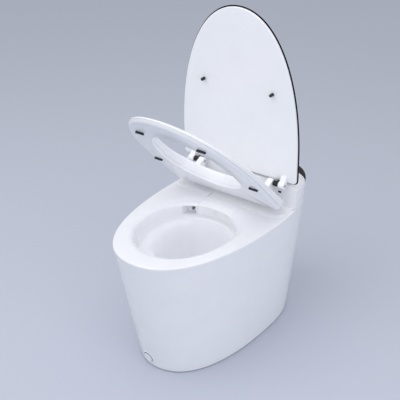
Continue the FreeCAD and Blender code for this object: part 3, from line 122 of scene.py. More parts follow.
def finish_with(name, base, shade, grain_mm, depth_mm, rough_low, rough_high, **shader):
    """A moulded, glazed or rubbed finish: a colour that drifts a little, and a fine uneven skin.

    grain_mm is the size of one bump of the skin and depth_mm its height.
    The roughness wanders between two values over patches about 60 mm wide.
    """
    material = bpy.data.materials.new(name)
    material.use_nodes = True
    tree = material.node_tree
    tree.nodes.clear()
    place = add_node(tree, "ShaderNodeTexCoord").outputs["Object"]
    patches = add_node(tree, "ShaderNodeTexNoise", Vector=place, Scale=1.0 / patch_width,
                       Detail=2.0).outputs[0]
    skin = add_node(tree, "ShaderNodeTexNoise", Vector=place, Scale=1000.0 / grain_mm,
                    Detail=2.0).outputs[0]
    colour = ramp_between(tree, patches, 0.3, 0.7, linear(base), linear(shade))
    rough = add_node(tree, "ShaderNodeMapRange", Value=patches, From_Min=0.3, From_Max=0.7,
                     To_Min=rough_low, To_Max=rough_high).outputs[0]
    bump = add_node(tree, "ShaderNodeBump", Strength=1.0, Distance=depth_mm / 1000.0,
                    Height=skin).outputs[0]
    body = add_node(tree, "ShaderNodeBsdfPrincipled", Base_Color=colour, Roughness=rough,
                    Normal=bump)
    for key, value in shader.items():
        body.inputs[key.replace("_", " ")].default_value = value
    add_node(tree, "ShaderNodeOutputMaterial", Surface=body.outputs[0])
    return material


# %% [markdown]
# Vitreous china is fired with a clear glaze over a white body: a deep, even gloss
# with a faint ripple a few millimetres wide, left by the glaze as it flowed.
# The seat, the lid's inside and the rear unit are injection moulded plastic,
# a touch lighter and a little less sharp. The lid's shell and the rear cover are piano black.

# %% Finishes that show outside
glazed_china = finish_with("fired_glazed_china", "#F5F6FA", "#F8F9FC", 9.0, 0.012, 0.05, 0.09,
                           IOR=1.52, Coat_Weight=0.35, Coat_Roughness=0.03)
moulded_white = finish_with("injection_moulded_white_abs", "#F8F9FC", "#FAFBFD",
                            0.8, 0.004, 0.20, 0.26, IOR=1.53)
seat_white = finish_with("moulded_seat_polypropylene", "#F7F8FC", "#F9FAFD",
                         0.8, 0.004, 0.16, 0.22, IOR=1.5)
piano_black = finish_with("piano_black_moulded_abs", "#040305", "#060507",
                          6.0, 0.003, 0.12, 0.18, IOR=1.4, Specular_IOR_Level=0.2)
bumper_grey = finish_with("pressed_grey_silicone_rubber", "#25272D", "#2E3037",
                          0.5, 0.01, 0.5, 0.6, IOR=1.43)
floor_rubber = finish_with("extruded_dark_rubber", "#26272B", "#2E2F34",
                           0.6, 0.02, 0.6, 0.75, IOR=1.5)
dark_abs = finish_with("textured_dark_abs", "#08080A", "#0C0C0F",
                       0.7, 0.02, 0.4, 0.55, IOR=1.45)

# %% [markdown]
# The pieces behind the skirt and under the rear unit are plain industrial ones:
# grey moulded tanks, black hoses, drawn and turned metal, a green circuit board.

# %% Finishes inside
grey_mould = finish_with("moulded_grey_polypropylene", "#8E9297", "#999DA2",
                         0.9, 0.03, 0.4, 0.55, IOR=1.49)
hose_rubber = finish_with("extruded_epdm_hose", "#1B1B1D", "#242427",
                          0.5, 0.02, 0.55, 0.7, IOR=1.5)
turned_steel = finish_with("turned_stainless_steel", "#B9BBBD", "#C6C8CA",
                           0.3, 0.004, 0.18, 0.3, Metallic=1.0)
cast_brass = finish_with("machined_brass", "#B9975A", "#C4A367",
                         0.5, 0.008, 0.25, 0.4, Metallic=1.0)
zinc_steel = finish_with("zinc_plated_steel", "#A4A8AE", "#B3B7BC",
                         2.5, 0.01, 0.3, 0.45, Metallic=1.0)
board_green = finish_with("solder_masked_board", "#1F5B3A", "#256544",
                          1.2, 0.02, 0.3, 0.4, IOR=1.5)
wire_amber = finish_with("polyimide_wire_sheath", "#B9772C", "#C98A3D",
                         2.0, 0.01, 0.25, 0.4, IOR=1.6)

# %% [markdown]
# The foot button is white on its face, and its side is painted dark: painted shade that stands in
# for the shadow in the thin gap round the button.
# The painted side is every point that lies farther from the button's axis than a limit, a little
# inside its 15 mm radius.

# %% Button finish
button_face, button_way = (-0.0220, -0.250645, 0.0300), (0.0854226, 0.9741085, 0.2093216)
# The dark colour on the button's side is painted shade, put where the gap round the button is in
# shadow.
white_ends, painted_shade_starts, button_side_painted_shade = 0.0146, 0.0148, "#1C1D22"
button_with_painted_shade = finish_with("white_button_with_dark_side", "#F8F9FC", "#FAFBFD",
                           0.8, 0.004, 0.20, 0.26, IOR=1.53)
button_shade_tree = button_with_painted_shade.node_tree
vector_math = "ShaderNodeVectorMath"
place = add_node(button_shade_tree, "ShaderNodeTexCoord").outputs["Object"]
from_face = add_node(button_shade_tree, vector_math, {"operation": "SUBTRACT"}, i0=place,
                     i1=button_face).outputs[0]
off_axis = add_node(button_shade_tree, vector_math, {"operation": "CROSS_PRODUCT"}, i0=from_face,
                    i1=button_way).outputs[0]
radius = add_node(button_shade_tree, vector_math, {"operation": "LENGTH"}, i0=off_axis).outputs["Value"]
painted_shade_share = add_node(button_shade_tree, "ShaderNodeMapRange", Value=radius, From_Min=white_ends,
                      From_Max=painted_shade_starts).outputs[0]
button_body = next(n for n in button_shade_tree.nodes if n.type == "BSDF_PRINCIPLED")
white_link = button_body.inputs["Base Color"].links[0].from_socket
# Mixes the painted shade onto the button's side. The face stays white.
painted_shade_mix = add_node(button_shade_tree, "ShaderNodeMix", {"data_type": "RGBA"}, i0=painted_shade_share,
                    i6=white_link, i7=linear(button_side_painted_shade))
button_shade_tree.links.new(painted_shade_mix.outputs[2], button_body.inputs["Base Color"])

# %% [markdown]
# Each solid of the frame is dressed by the material slot that its record names.
# Two pieces differ from their slot: the strip at the floor, and the foot button, whose side carries
# painted shade.

# %% Dress the solids
by_slot = {"glazed_white": glazed_china, "white_plastic": moulded_white,
           "black_gloss": piano_black, "grey_plastic": grey_mould, "dark_plastic": dark_abs,
           "grey_rubber": bumper_grey, "black_rubber": hose_rubber, "stainless": turned_steel,
           "brass_body": cast_brass, "zinc_steel": zinc_steel, "board_green": board_green,
           "heater_wire": wire_amber}
by_node = {"floor_gasket": floor_rubber, "foot_button": button_with_painted_shade}
slot_of = {part["node"]: part["material_slot"] for part in frame["record"]["subparts"]}
for name, thing in frame["nodes"].items():
    thing.data.materials.clear()
    thing.data.materials.append(by_node.get(name, by_slot[slot_of[name]]))
print("dressed", len(frame["nodes"]), "solids")

# %% [markdown]
# Curved shells are built as grids. Each row is a closed ring of points, each column runs
# from ring to ring, and four neighbours make a face. A ring is an oval of four cubic arcs:
# the corner points come from a half width, a front, a middle and a rear, and a bulge that
# says how square it is (0.55 is an ellipse).

# %% Ring and grid helpers
smooth_below = 40.0


def cubic_arc(x0, x1, x2, x3, t):
    """One coordinate of a cubic arc: four corner values weighted by powers of t and 1 - t."""
    s = 1.0 - t
    return x0 * s**3 + 3 * x1 * s**2 * t + 3 * x2 * s * t**2 + x3 * t**3


def oval_rings(half_width, front, middle, rear, front_bulge, rear_bulge, steps):
    """Rings of four arcs (right, front, left, rear), one row for each set of sizes."""
    half_width, front, middle, rear = [np.atleast_1d(np.asarray(v, float))[:, None]
                                       for v in (half_width, front, middle, rear)]
    xs, ys = [], []
    for side, reach, bulge, t in ((1, front - middle, front_bulge, steps[0]),
                                  (-1, front - middle, front_bulge, 1 - steps[1]),
                                  (-1, rear - middle, rear_bulge, steps[2]),
                                  (1, rear - middle, rear_bulge, 1 - steps[3])):
        t = t[None, :]
        xs.append(side * cubic_arc(half_width, half_width, half_width * bulge, 0 * half_width, t))
        ys.append(middle + cubic_arc(0 * reach, reach * bulge, reach, reach, t))
    return np.stack([np.concatenate(xs, 1), np.concatenate(ys, 1)], 2)


def rings_at(rings, heights):
    """Adds a height to each row of flat rings."""
    heights = np.broadcast_to(np.asarray(heights, float).reshape(len(rings), -1), rings.shape[:2])
    return np.concatenate([rings, heights[:, :, None]], 2)


def grid_faces(rows, columns, wrap_rows):
    """The four corners of every face, as indices into the rows."""
    r = np.arange(rows if wrap_rows else rows - 1)[:, None]
    c = np.arange(columns)[None, :]
    r2, c2 = (r + 1) % rows, (c + 1) % columns
    corners = (r * columns + c, r * columns + c2, r2 * columns + c2, r2 * columns + c)
    return np.stack(np.broadcast_arrays(*corners), 2).reshape(-1, 4)


def shell_piece(name, grid, material, body, ends=None, wrap_rows=False, sharp=smooth_below):
    """A closed surface from a grid of rings in metres, on one body of the frame.

    ends gives the two pole points that close it. With wrap_rows the last ring joins the first.
    """
    rows, columns = grid.shape[:2]
    points = grid.reshape(-1, 3)
    faces = [tuple(f) for f in grid_faces(rows, columns, wrap_rows).tolist()]
    if ends is not None:
        first, last = len(points), len(points) + 1
        points = np.vstack([points, ends])
        ring = np.arange(columns)
        after = (ring + 1) % columns
        low = np.stack([np.full(columns, first), after, ring], 1)
        top = (rows - 1) * columns
        high = np.stack([np.full(columns, last), top + ring, top + after], 1)
        faces += [tuple(f) for f in np.vstack([low, high]).tolist()]
    mesh = bpy.data.meshes.new(name)
    mesh.from_pydata(points.tolist(), [], faces)
    mesh.validate()
    thing = bpy.data.objects.new(name, mesh)
    bpy.context.scene.collection.objects.link(thing)
    settle(thing, sharp)
    mesh.materials.append(material)
    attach(thing, body)
    return thing


def settle(thing, sharp):
    """Turns all faces outwards and rounds the shading where faces meet at less than an angle."""
    work = bmesh.new()
    work.from_mesh(thing.data)
    bmesh.ops.remove_doubles(work, verts=work.verts, dist=1e-6)
    bmesh.ops.dissolve_degenerate(work, edges=work.edges, dist=1e-6)
    bmesh.ops.recalc_face_normals(work, faces=work.faces)
    work.to_mesh(thing.data)
    work.free()
    thing.data.shade_smooth()
    thing.data.set_sharp_from_angle(angle=math.radians(sharp))


def cut_away(thing, cutters, added=()):
    """Joins the added pieces to a piece, takes the cutters out of it and drops both."""
    for cutter in [*added, *cutters]:
        step = thing.modifiers.new("cut", "BOOLEAN")
        step.operation = "UNION" if cutter in added else "DIFFERENCE"
        step.solver, step.object = "EXACT", cutter
    bpy.context.view_layer.update()
    graph = bpy.context.evaluated_depsgraph_get()
    done = bpy.data.meshes.new_from_object(thing.evaluated_get(graph))
    thing.modifiers.clear()
    thing.data = done
    done.name = thing.name
    for cutter in [*added, *cutters]:
        bpy.data.objects.remove(cutter)
    settle(thing, smooth_below)
    print(thing.name, "has", len(done.polygons), "faces")


def cutter_box(low, high):
    """A plain box between two corners, used only to cut."""
    (x0, y0, z0), (x1, y1, z1) = low, high
    mesh = bpy.data.meshes.new("cutter")
    corners = [(x, y, z) for z in (z0, z1) for y in (y0, y1) for x in (x0, x1)]
    sides = [(0, 2, 3, 1), (4, 5, 7, 6), (0, 1, 5, 4), (2, 6, 7, 3), (0, 4, 6, 2), (1, 3, 7, 5)]
    mesh.from_pydata(corners, [], sides)
    thing = bpy.data.objects.new("cutter", mesh)
    bpy.context.scene.collection.objects.link(thing)
    return thing


def cutter_stack(rings):
    """A solid through closed rings of points, one above the other, used only to cut or to add."""
    count, sides = rings.shape[:2]
    faces = [tuple(f) for f in grid_faces(count, sides, False).tolist()]
    faces += [tuple(range(sides))[::-1], tuple(range((count - 1) * sides, count * sides))]
    mesh = bpy.data.meshes.new("cutter")
    mesh.from_pydata(rings.reshape(-1, 3).tolist(), [], faces)
    thing = bpy.data.objects.new("cutter", mesh)
    bpy.context.scene.collection.objects.link(thing)
    settle(thing, smooth_below)
    return thing


def cutter_rod(radius, start, end, sides=48):
    """A round bar between two points, used only to cut."""
    start, end = Vector(start), Vector(end)
    way = (end - start).normalized()
    side = way.orthogonal().normalized()
    turn = np.linspace(0, 2 * math.pi, sides, endpoint=False)
    ring = np.outer(np.cos(turn), side) + np.outer(np.sin(turn), way.cross(side))
    ring = ring * radius
    return cutter_stack(np.stack([np.array(start) + ring, np.array(end) + ring]))


def cutter_slab(x, z_low, z_high, corner, y_low, y_high):
    """An upright slab with round corners, seen from the front as a window, used only to cut."""
    turn = np.radians(np.linspace(0, 90, 9))
    across = x - corner + corner * np.sin(turn)
    upward = (z_high - z_low) / 2 - corner + corner * np.cos(turn)
    right = np.stack([np.append(across, across[::-1]), np.append(upward, -upward[::-1])], 1)
    ring = np.vstack([right, -right])
    ring = np.stack([ring[:, 0], 0 * ring[:, 0], ring[:, 1] + (z_low + z_high) / 2], 1)
    return cutter_stack(np.stack([ring + (0, y, 0) for y in (y_low, y_high)]))


# %% [markdown]
# The pedestal is one casting of vitreous china: a skirt that leans out from the floor to
# the rim, a flat rim with a soft edge, and a bowl whose lip rolls over before its wall drops.
# It could be sculpted from a subdivided cage, but rings keep the fitted outline exact.
# From the middle of each side back, the rim's edge turns up into a collar for the rear unit.

# %% Pedestal outline
base_half, base_front, base_middle, base_rear = 162.5, -246.0, 116.5, 315.0
rim_half, rim_front, rim_middle, rim_rear = 197.0, -333.0, 97.0, 333.0
base_bulges, rim_bulges = (0.65, 0.71), (0.64, 0.75)
rim_z, collar_z, collar_front = 397.0, 450.0, 161.5
slope_foot_z, slope_end = 425.0, 208.0
arc_steps, nick = 56, 0.0004


def skirt_rings(z, inset, steps):
    """The corner points of the base and rim outlines, mixed by height."""
    z, inset = np.broadcast_arrays(np.asarray(z, float), np.asarray(inset, float))
    rise = (np.minimum(z, rim_z) / rim_z)[:, None, None]
    low = oval_rings(base_half - inset, base_front + inset, base_middle + 0 * z,
                     base_rear - inset, *base_bulges, steps)
    high = oval_rings(rim_half - inset, rim_front + inset, rim_middle + 0 * z,
                      rim_rear - inset, *rim_bulges, steps)
    return low + (high - low) * rise


even = np.linspace(0, 1, arc_steps, endpoint=False)
fine = np.linspace(0, 1, 4001)
rear_reach = rim_rear - rim_middle
rear_y = rim_middle + cubic_arc(0, rear_reach * rim_bulges[1], rear_reach, rear_reach, fine)
turn_at = float(np.interp(collar_front, rear_y, fine))
back_steps = np.sort(np.append(even, [turn_at - nick, turn_at + nick]))
forth_steps = np.sort(np.append(even, [1 - turn_at - nick, 1 - turn_at + nick]))
body_steps = (even, even, back_steps, forth_steps)
rim_ring = skirt_rings([rim_z], [0.0], body_steps)[0]
is_rear = rim_ring[:, 1] > collar_front
print("columns", len(rim_ring), "of them behind the collar's front", int(is_rear.sum()))

# %% Pedestal surface
bowl_marks = np.array([(397.0, 165.0, -303.0, 100.0), (397.0, 145.0, -283.0, 83.5),
                       (394.0, 136.2, -272.0, 59.9), (387.0, 129.0, -263.0, 40.5),
                       (351.0, 121.0, -255.0, 44.5), (342.0, 104.0, -217.0, 41.5),
                       (332.0, 95.0, -200.0, 38.0), (315.0, 87.5, -184.0, 32.5),
                       (237.0, 63.0, -127.0, 12.5), (185.0, 34.0, -96.0, -20.0),
                       (183.0, 10.0, -70.0, -46.0)])
bowl_bulges, bowl_middle_share, bowl_rows_each = (0.585, 0.62), 0.56, 9
bowl_wall, skirt_wall, edge_radius = 10.0, 12.0, 5.0


def smooth_rows(marks, each):
    """A smooth path through the marks: cubics whose slopes come from the marks around them."""
    padded = np.vstack([2 * marks[0] - marks[1], marks, 2 * marks[-1] - marks[-2]])
    rows = []
    for i in range(1, len(marks)):
        a, b, c, d = padded[i - 1:i + 3]
        reach = np.sqrt(np.abs(np.linalg.norm(np.stack([b - a, c - b, d - c]), axis=1)) + 1e-9)
        slope_b = (b - a) / reach[0] * reach[1] * reach[1] + (c - b) * reach[0]
        slope_b = slope_b / (reach[0] + reach[1])
        slope_c = (c - b) * reach[2] + (d - c) / reach[2] * reach[1] * reach[1]
        slope_c = slope_c / (reach[1] + reach[2])
        t = np.linspace(0, 1, each, endpoint=False)[:, None]
        rows.append(b * (2 * t**3 - 3 * t**2 + 1) + slope_b * (t**3 - 2 * t**2 + t)
                    + c * (3 * t**2 - 2 * t**3) + slope_c * (t**3 - t**2))
    return np.vstack(rows + [marks[-1:]])


def bowl_rings(marks, grow=0.0, drop=0.0):
    """Rings of the bowl at marks of height, half width, front and rear."""
    z, half, front, rear = marks.T
    middle = front + (rear - front) * bowl_middle_share
    rings = oval_rings(half + grow, front - grow, middle, rear + grow, *bowl_bulges, body_steps)
    return rings_at(rings, z - drop)


# The first span of marks lies on the flat rim, so its rows are left out.
inner_bowl = bowl_rings(smooth_rows(bowl_marks, bowl_rows_each)[bowl_rows_each:])
under_bowl = bowl_rings(bowl_marks[:3:-1], bowl_wall, bowl_wall)
under_top = bowl_rings(np.array([(385.0, 129.0, -263.0, 40.5)]), bowl_wall)
inside_z = np.array([385.0, 300.0, 200.0, 100.0, 20.0, 2.6])
inside = rings_at(skirt_rings(inside_z, np.full(6, skirt_wall), body_steps), inside_z)
skirt_z = np.array([2.0, 2.0, 2.5, 4.0, 6.0, 12.0, 40.0, 90.0, 150.0, 210.0, 270.0, 320.0,
                    360.0, 382.0, 390.0])
skirt_in = np.zeros(15)
skirt_in[:4] = 11.4, 2.2, 0.9, 0.2
skirt = rings_at(skirt_rings(skirt_z, skirt_in, body_steps), skirt_z)
roll_turn = np.linspace(0, math.pi / 2, 11)
front_in = edge_radius * (1 - np.cos(roll_turn))
front_z = rim_z - edge_radius * (1 - np.sin(roll_turn))
front_edge = rings_at(skirt_rings(front_z, front_in, body_steps), front_z)
rear_in = np.array([0, 0, 0, 0.4, 1.5, 5.5, 9.5, 10.6, 11.0, 11.0, 11.0])
rear_drop = np.array([60.0, 14.0, 1.5, 0.4, 0, 0, 0, 0.4, 1.5, 14.0, 60.0])
slope_run = (rim_ring[:, 1] - collar_front) / (slope_end - collar_front)
collar_top = slope_foot_z + (collar_z - slope_foot_z) * slope_run
collar_top = np.minimum(collar_top, collar_z)
rear_z = np.maximum(collar_top[None, :] - rear_drop[:, None], rim_z)
rear_edge = rings_at(skirt_rings(np.full(11, rim_z), rear_in, body_steps), rear_z)
edge_rows = np.where(is_rear[None, :, None], rear_edge, front_edge)
pedestal_grid = [under_bowl, under_top, inside, skirt, edge_rows, inner_bowl]
pedestal_ends = np.array([(0, -58.0, 173.0), (0, -58.0, 183.0)])
pedestal = shell_piece("pedestal_casting", np.concatenate(pedestal_grid) * mm, glazed_china,
                       "base", ends=pedestal_ends * mm)

# %% [markdown]
# The foot button stands in a dished bezel, so that its side, painted dark as painted shade, shows
# as a thin crescent.
# The bezel is turned: a profile of radii and depths, swept once round the button's axis.

# %% Dished bezel
button_spot, press = np.array(button_face), np.array(button_way)
sideways = np.cross(press, (0, 0, 1.0))
sideways /= np.linalg.norm(sideways)
turn_round = np.linspace(0, 2 * math.pi, 96, endpoint=False)
upways = np.cross(press, sideways)
spokes = np.outer(np.cos(turn_round), sideways) + np.outer(np.sin(turn_round), upways)
bezel_profile = [(15.3, 2.0), (15.3, 16.0), (4.06, 16.0), (4.06, 19.0), (12.0, 19.0),
                 (12.0, 30.0), (18.0, 30.0), (18.0, 1.2), (20.0, 1.2), (20.0, -0.8),
                 (19.88, -1.08), (19.6, -1.2), (18.0, -1.2), (17.7, -1.0)]
bezel_grid = np.stack([button_spot + press * depth * mm + spokes * reach * mm
                       for reach, depth in bezel_profile])
bezel = shell_piece("dished_button_bezel", bezel_grid, moulded_white, "base", wrap_rows=True,
                    sharp=35.0)
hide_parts("button_bezel")

# %% [markdown]
# The jet opening is a pocket in the bowl's rear left wall, deepest on its right. The casting
# is thickened round it first, with a block trimmed to just behind the bowl's surface.
# The tray under the rear unit, the button, the cord's gland and the service window follow.

# %% Openings in the pedestal
jet_x, jet_z, jet_radius = -0.082, 0.370, 0.0080
gland_x, gland_z, gland_radius = 0.084, 0.423, 0.0092
barrel_hole, flange_hole = 0.0183, 0.0203
pocket_low, pocket_high = 356.0, 384.0
thick = cutter_box((-0.101, -0.050, 0.349), (-0.054, 0.0517, 0.391))
cut_away(thick, [cutter_stack(bowl_rings(bowl_marks[9:1:-1], 0.4) * mm)])
pocket_plan = np.array([(-94.0, -43.0), (-61.0, -43.0), (-61.0, 43.0), (-72.0, 43.0),
                        (-94.0, 33.0)])
pocket_rings = rings_at(np.stack([pocket_plan] * 2), [pocket_low, pocket_high])
tray = cutter_box((-0.0570, 0.012, 0.3564), (0.0570, 0.177, 0.410))
tray_well = cutter_box((-0.0566, 0.050, 0.3530), (0.0566, 0.176, 0.360))
jet_pocket = cutter_stack(pocket_rings * mm)
jet_bore = cutter_rod(jet_radius, (jet_x, 0.038, jet_z), (jet_x, 0.060, jet_z))
gland_hole = cutter_rod(gland_radius, (gland_x, 0.290, gland_z), (gland_x, 0.345, gland_z))
barrel = cutter_rod(barrel_hole, button_spot - press * 0.010, button_spot + press * 0.036)
flange = cutter_rod(flange_hole, button_spot - press * 0.010, button_spot + press * 0.0015)
window = cutter_slab(0.092, 0.070, 0.300, 0.024, 0.268, 0.345)
cut_away(pedestal, [tray, tray_well, jet_pocket, jet_bore, gland_hole, barrel, flange, window],
         added=[thick])
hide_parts("pedestal")

# %% [markdown]
# The lid is a shallow black shell with a white panel set into it. Its outline is a shield:
# a curved tip, straight sides and a straight foot with small round corners. Both are drawn
# lying flat with the hinge at the origin, then turned up about the hinge line.

# %% Shield outline and hinge turn
hinge_y, hinge_z = 139.5, 474.0


def shield_rings(half, tip, foot, straight, corner, bulge):
    """Rings from the foot's middle up the right side to the tip, and back down the left."""
    half, tip, foot, straight, corner = [np.atleast_1d(np.asarray(v, float))[:, None]
                                         for v in (half, tip, foot, straight, corner)]
    line, bend, curve = [np.linspace(0, 1, n, endpoint=False)[None, :] for n in (14, 12, 72)]
    bow = straight + (tip - straight) * bulge
    run = np.linspace(0, 1, 10, endpoint=False)[None, :]
    x = [line * (half - corner), half - corner + corner * np.sin(bend * math.pi / 2),
         half + 0 * run, cubic_arc(half, half, half * bulge, 0 * half, curve), 0 * half]
    u = [foot + 0 * line, foot + corner * (1 - np.cos(bend * math.pi / 2)),
         foot + corner + (straight - foot - corner) * run,
         cubic_arc(straight, bow, tip, tip, curve), tip]
    count = len(half)
    x, u = [np.concatenate([np.broadcast_to(piece, (count, piece.shape[1])) for piece in row], 1)
            for row in (x, u)]
    x = np.concatenate([x, -x[:, -2:0:-1]], 1)
    u = np.concatenate([u, u[:, -2:0:-1]], 1)
    return np.stack([x, -u], 2)


def raised(points, degrees):
    """Turns flat points up about the hinge line and moves them to it."""
    angle = math.radians(degrees)
    x, y, z = points[..., 0], points[..., 1], points[..., 2]
    return np.stack([x, y * math.cos(angle) + z * math.sin(angle) + hinge_y,
                     z * math.cos(angle) - y * math.sin(angle) + hinge_z], -1)


# %% Lid shell and panel
lid_angle, lid_half, lid_tip, lid_foot, lid_straight = 86.54, 198.0, 483.0, 2.0, 77.0
lid_corner, lid_corner_least, lid_bulge = 14.0, 4.0, 0.60
fold_inset, lid_middle = 17.0, -240.0


def lid_rings(levels):
    """Rings of the lid: each level has a height and an inset from the lid's edge.

    Past fold_inset the ring shrinks towards the lid's middle instead, so that it never folds.
    """
    w, inset = np.array(levels, float).T
    near = np.minimum(inset, fold_inset)
    corner = np.maximum(lid_corner - near, lid_corner_least)
    rings = shield_rings(lid_half - near, lid_tip - near, lid_foot + near,
                         lid_straight + 0 * w, corner, lid_bulge)
    share = ((inset - near) / -lid_middle)[:, None, None]
    return rings_at(rings + (np.array((0.0, lid_middle)) - rings) * share, w)


shell_marks = np.array([(18.4, 0.4), (18.8, 0.0), (21.2, 0.6), (24.4, 3.4), (27.8, 8.0),
                        (31.4, 15.0), (33.6, 25.0), (34.0, 34.0)])
shell_levels = [(31.0, 90.0), (31.0, 34.0), (28.0, 20.0), (24.0, 8.0), (18.4, 3.0)]
shell_levels += smooth_rows(shell_marks, 5).tolist() + [(34.0, 60.0), (34.0, 110.0)]
shell_grid = raised(lid_rings(shell_levels), lid_angle) * mm
shell_ends = raised(np.array([(0, lid_middle, 31.0), (0, lid_middle, 34.0)]), lid_angle) * mm
lid_shell = shell_piece("lid_black_shell", shell_grid, piano_black, "lid", ends=shell_ends)
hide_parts("lid_shell")
panel_levels = [(12.4, 110.0), (12.4, 30.0), (12.4, 6.4), (12.5, 5.4), (12.8, 4.5),
                (13.3, 3.9), (14.0, 3.6), (18.0, 3.6), (18.0, 30.0), (18.0, 110.0)]
panel_grid = raised(lid_rings(panel_levels), lid_angle) * mm
panel_ends = raised(np.array([(0, lid_middle, 12.4), (0, lid_middle, 18.0)]), lid_angle) * mm
lid_panel = shell_piece("lid_white_panel", panel_grid, moulded_white, "lid", ends=panel_ends)
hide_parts("lid_panel")

# %% [markdown]
# The seat ring is a hollow moulding, thick at the rear and thin at the tip, closed by a
# shallow tray underneath. Each cross section starts at the hole's wall, rounds over to the
# sloping top, rounds again at the rim and comes back along the split line.

# %% Seat outline, hole and top surface
seat_angle, seat_low, seat_rear, seat_tip = 44.35, -71.0, -17.0, 458.8
seat_half, seat_straight, seat_corner, seat_bulge = 184.5, 161.8, 26.0, 0.575
rear_thick, tip_thick, split = 46.0, 20.0, 8.4
hole_half, hole_front, hole_middle, hole_rear, hole_bulge = 122.0, -368.0, -178.5, -59.0, 0.56
hole_centre = (0.0, -200.0)
dish_depth, dish_reach, dish_start, dish_end = 5.0, 22.0, -6.0, 30.0
wall_lean, wall_height, wall_start = 5.0, 56.0, -5.0


def seat_ring_at(inset, rear_height, tip_height):
    """A ring of the seat's outside, tilted from its height at the rear to its height at the tip."""
    flat = shield_rings(seat_half - inset, seat_tip - inset, seat_rear, seat_straight,
                        seat_corner, seat_bulge)[0]
    tilt = math.atan2(rear_height - tip_height, seat_tip - seat_rear)
    run = flat[:, 1] + seat_rear
    return np.stack([flat[:, 0], run * math.cos(tilt) - seat_rear,
                     rear_height + run * math.sin(tilt)], 1)


def hole_points(grow, columns):
    """Points of the hole's oval, grown outwards, in the directions of the outline's columns."""
    step = np.linspace(0, 1, 200, endpoint=False)
    ring = oval_rings([hole_half + grow], [hole_front - grow], [hole_middle],
                      [hole_rear + grow], hole_bulge, hole_bulge, (step,) * 4)[0]
    turn = np.arctan2(ring[:, 1] - hole_centre[1], ring[:, 0] - hole_centre[0]) % (2 * math.pi)
    order = np.argsort(turn)
    aim = np.arctan2(columns[:, 1] - hole_centre[1], columns[:, 0] - hole_centre[0])
    aim = aim % (2 * math.pi)
    return np.stack([np.interp(aim, turn[order], ring[order, k], period=2 * math.pi)
                     for k in (0, 1)], 1)


def top_height(flat):
    """Height of the seat's top: a plane that falls to the tip, with a dish towards the hole."""
    fall = (tip_thick - rear_thick) * (-flat[:, 1] - seat_rear) / (seat_tip - seat_rear)
    near, far = hole_points(dish_start, flat), hole_points(dish_end, flat)
    share = np.linalg.norm(flat - near, axis=1) / np.linalg.norm(far - near, axis=1)
    side = np.sign(((flat - near) * (far - near)).sum(1))
    grow = dish_start + (dish_end - dish_start) * (share * side)
    return rear_thick + fall - dish_depth * np.maximum(1 - grow / dish_reach, 0)


def lifted(flat, height):
    """Flat points with their heights off the seat's underside."""
    return np.concatenate([flat, np.broadcast_to(height, len(flat))[:, None]], 1)


def hole_wall(height, columns, grow=0.0):
    """A ring of the hole's wall, which leans in by wall_lean over wall_height from wall_start."""
    lean = wall_lean * (float(np.mean(height)) - wall_start) / wall_height
    flat = hole_points(grow - lean, columns)
    return lifted(flat, height)


# %% Seat ring
outline = seat_ring_at(0.0, 9.0, 9.0)[:, :2]
edge_round, edge_grow, rim_round_inset = 5.0, -3.8, 44.0
crest = top_height(hole_points(edge_grow + edge_round, outline))
top_rows = [hole_wall(split, outline),
            lifted(hole_points(edge_grow, outline), split + (crest - split) * 0.4)]
for a in np.linspace(0, math.pi / 2, 8):
    flat = hole_points(edge_grow + edge_round * (1 - math.cos(a)), outline)
    top_rows.append(lifted(flat, crest - edge_round * (1 - math.sin(a))))
marks = [top_rows[-2], top_rows[-1]]
inner_flat = top_rows[-1][:, :2]
outer_ring = seat_ring_at(rim_round_inset, rear_thick, tip_thick)
for share in (0.3, 0.6, 1.0):
    flat = inner_flat + (outer_ring[:, :2] - inner_flat) * share
    marks.append(lifted(flat, top_height(flat)))
high_ring = seat_ring_at(26.0, 41.0, 18.5)
high_ring[:, 2] = np.minimum(high_ring[:, 2], top_height(high_ring[:, :2]))
marks.append(high_ring)
for inset, rear_height, tip_height in ((12.0, 34.5, 16.5), (4.0, 30.0, 14.0), (0.8, 27.0, 11.0),
                                       (0.2, 15.0, 9.6)):
    marks.append(seat_ring_at(inset, rear_height, tip_height))
marks.append(lifted(outline, split))
# The first mark is there for its slope, so its span and the row after it are left out.
sweep_each = 6
sweep = smooth_rows(np.stack(marks).reshape(len(marks), -1), sweep_each)
top_rows += list(sweep.reshape(-1, len(outline), 3)[sweep_each + 1:])
seat_grid = np.stack(top_rows) + (0, 0, seat_low)
# The rounded top would bulge a little past the rear edge, so it is held to that edge.
seat_grid[..., 1] = np.minimum(seat_grid[..., 1], -seat_rear)
seat_top = shell_piece("seat_ring_top", raised(seat_grid, seat_angle) * mm, seat_white, "seat",
                       wrap_rows=True)

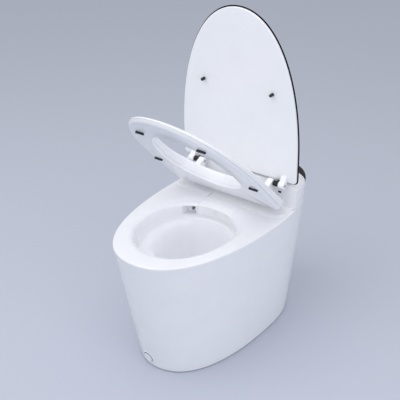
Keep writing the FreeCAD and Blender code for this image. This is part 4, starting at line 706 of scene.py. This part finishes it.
# The tray's rear corners are held inside the circle that clears the base plate as it swings.
tray_rows = [hole_wall(8.0, outline), hole_wall(1.5, outline), hole_wall(0.5, outline, 0.4),
             hole_wall(0.0, outline, 1.5)]
tray_rows += [seat_ring_at(inset, height, height) for inset, height in
              ((9.6, 0.0), (8.3, 0.1), (6.4, 1.3), (4.5, 3.0), (2.4, 5.4), (0.75, 8.0))]
tray_grid = np.stack(tray_rows) + (0, 0, seat_low)
swing = 71.2
behind = tray_grid[..., 1] > 0
arc = -np.sqrt(np.maximum(swing**2 - tray_grid[..., 1]**2, 0))
tray_grid[..., 2] = np.where(behind, np.maximum(tray_grid[..., 2], arc), tray_grid[..., 2])
seat_base = shell_piece("seat_ring_tray", raised(tray_grid, seat_angle) * mm, seat_white, "seat",
                        wrap_rows=True)
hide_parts("seat_top")
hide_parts("seat_base")

# %% [markdown]
# A plain pale floor and soft lamps. The large lamp stands in front on the left, a second
# hangs overhead, a weaker one fills the right side, and the sky is a pale even grey.

# %% Floor, lamps and sky
def stage_material(name, code, rough):
    """A plain matt finish for the floor."""
    material = bpy.data.materials.new(name)
    material.use_nodes = True
    body = material.node_tree.nodes["Principled BSDF"]
    body.inputs["Base Color"].default_value = linear(code)
    body.inputs["Roughness"].default_value = rough
    return material


reach = 9.0
floor_mesh = bpy.data.meshes.new("pale_floor")
floor_corners = [(-reach, -reach, 0), (reach, -reach, 0), (reach, reach, 0), (-reach, reach, 0)]
floor_mesh.from_pydata(floor_corners, [], [(0, 1, 2, 3)])
floor = bpy.data.objects.new("pale_floor", floor_mesh)
floor_mesh.materials.append(stage_material("matt_pale_floor", "#C6CBD8", 0.6))
bpy.context.scene.collection.objects.link(floor)


def lamp(name, place, aim, size, power, colour):
    """A square area lamp at a place, turned to face its aim."""
    data = bpy.data.lights.new(name, "AREA")
    data.size, data.energy, data.color = size, power, linear(colour)[:3]
    thing = bpy.data.objects.new(name, data)
    thing.location = place
    thing.rotation_euler = (Vector(aim) - Vector(place)).to_track_quat("-Z", "Y").to_euler()
    bpy.context.scene.collection.objects.link(thing)


lamp("large_soft_lamp", (-0.9, -1.6, 2.9), (0, 0, 0.35), 2.6, 27.0, "#FFFFFF")
lamp("overhead_soft_lamp", (0.1, -0.3, 3.0), (0, -0.1, 0.35), 2.4, 14.0, "#FFFFFF")
lamp("right_fill_lamp", (2.6, -0.9, 1.5), (0, 0, 0.35), 2.0, 15.0, "#F8F9FF")
world = bpy.data.worlds.new("pale_sky")
world.use_nodes = True
world.node_tree.nodes["Background"].inputs["Color"].default_value = linear("#ECEEF4")
world.node_tree.nodes["Background"].inputs["Strength"].default_value = 0.72
bpy.context.scene.world = world
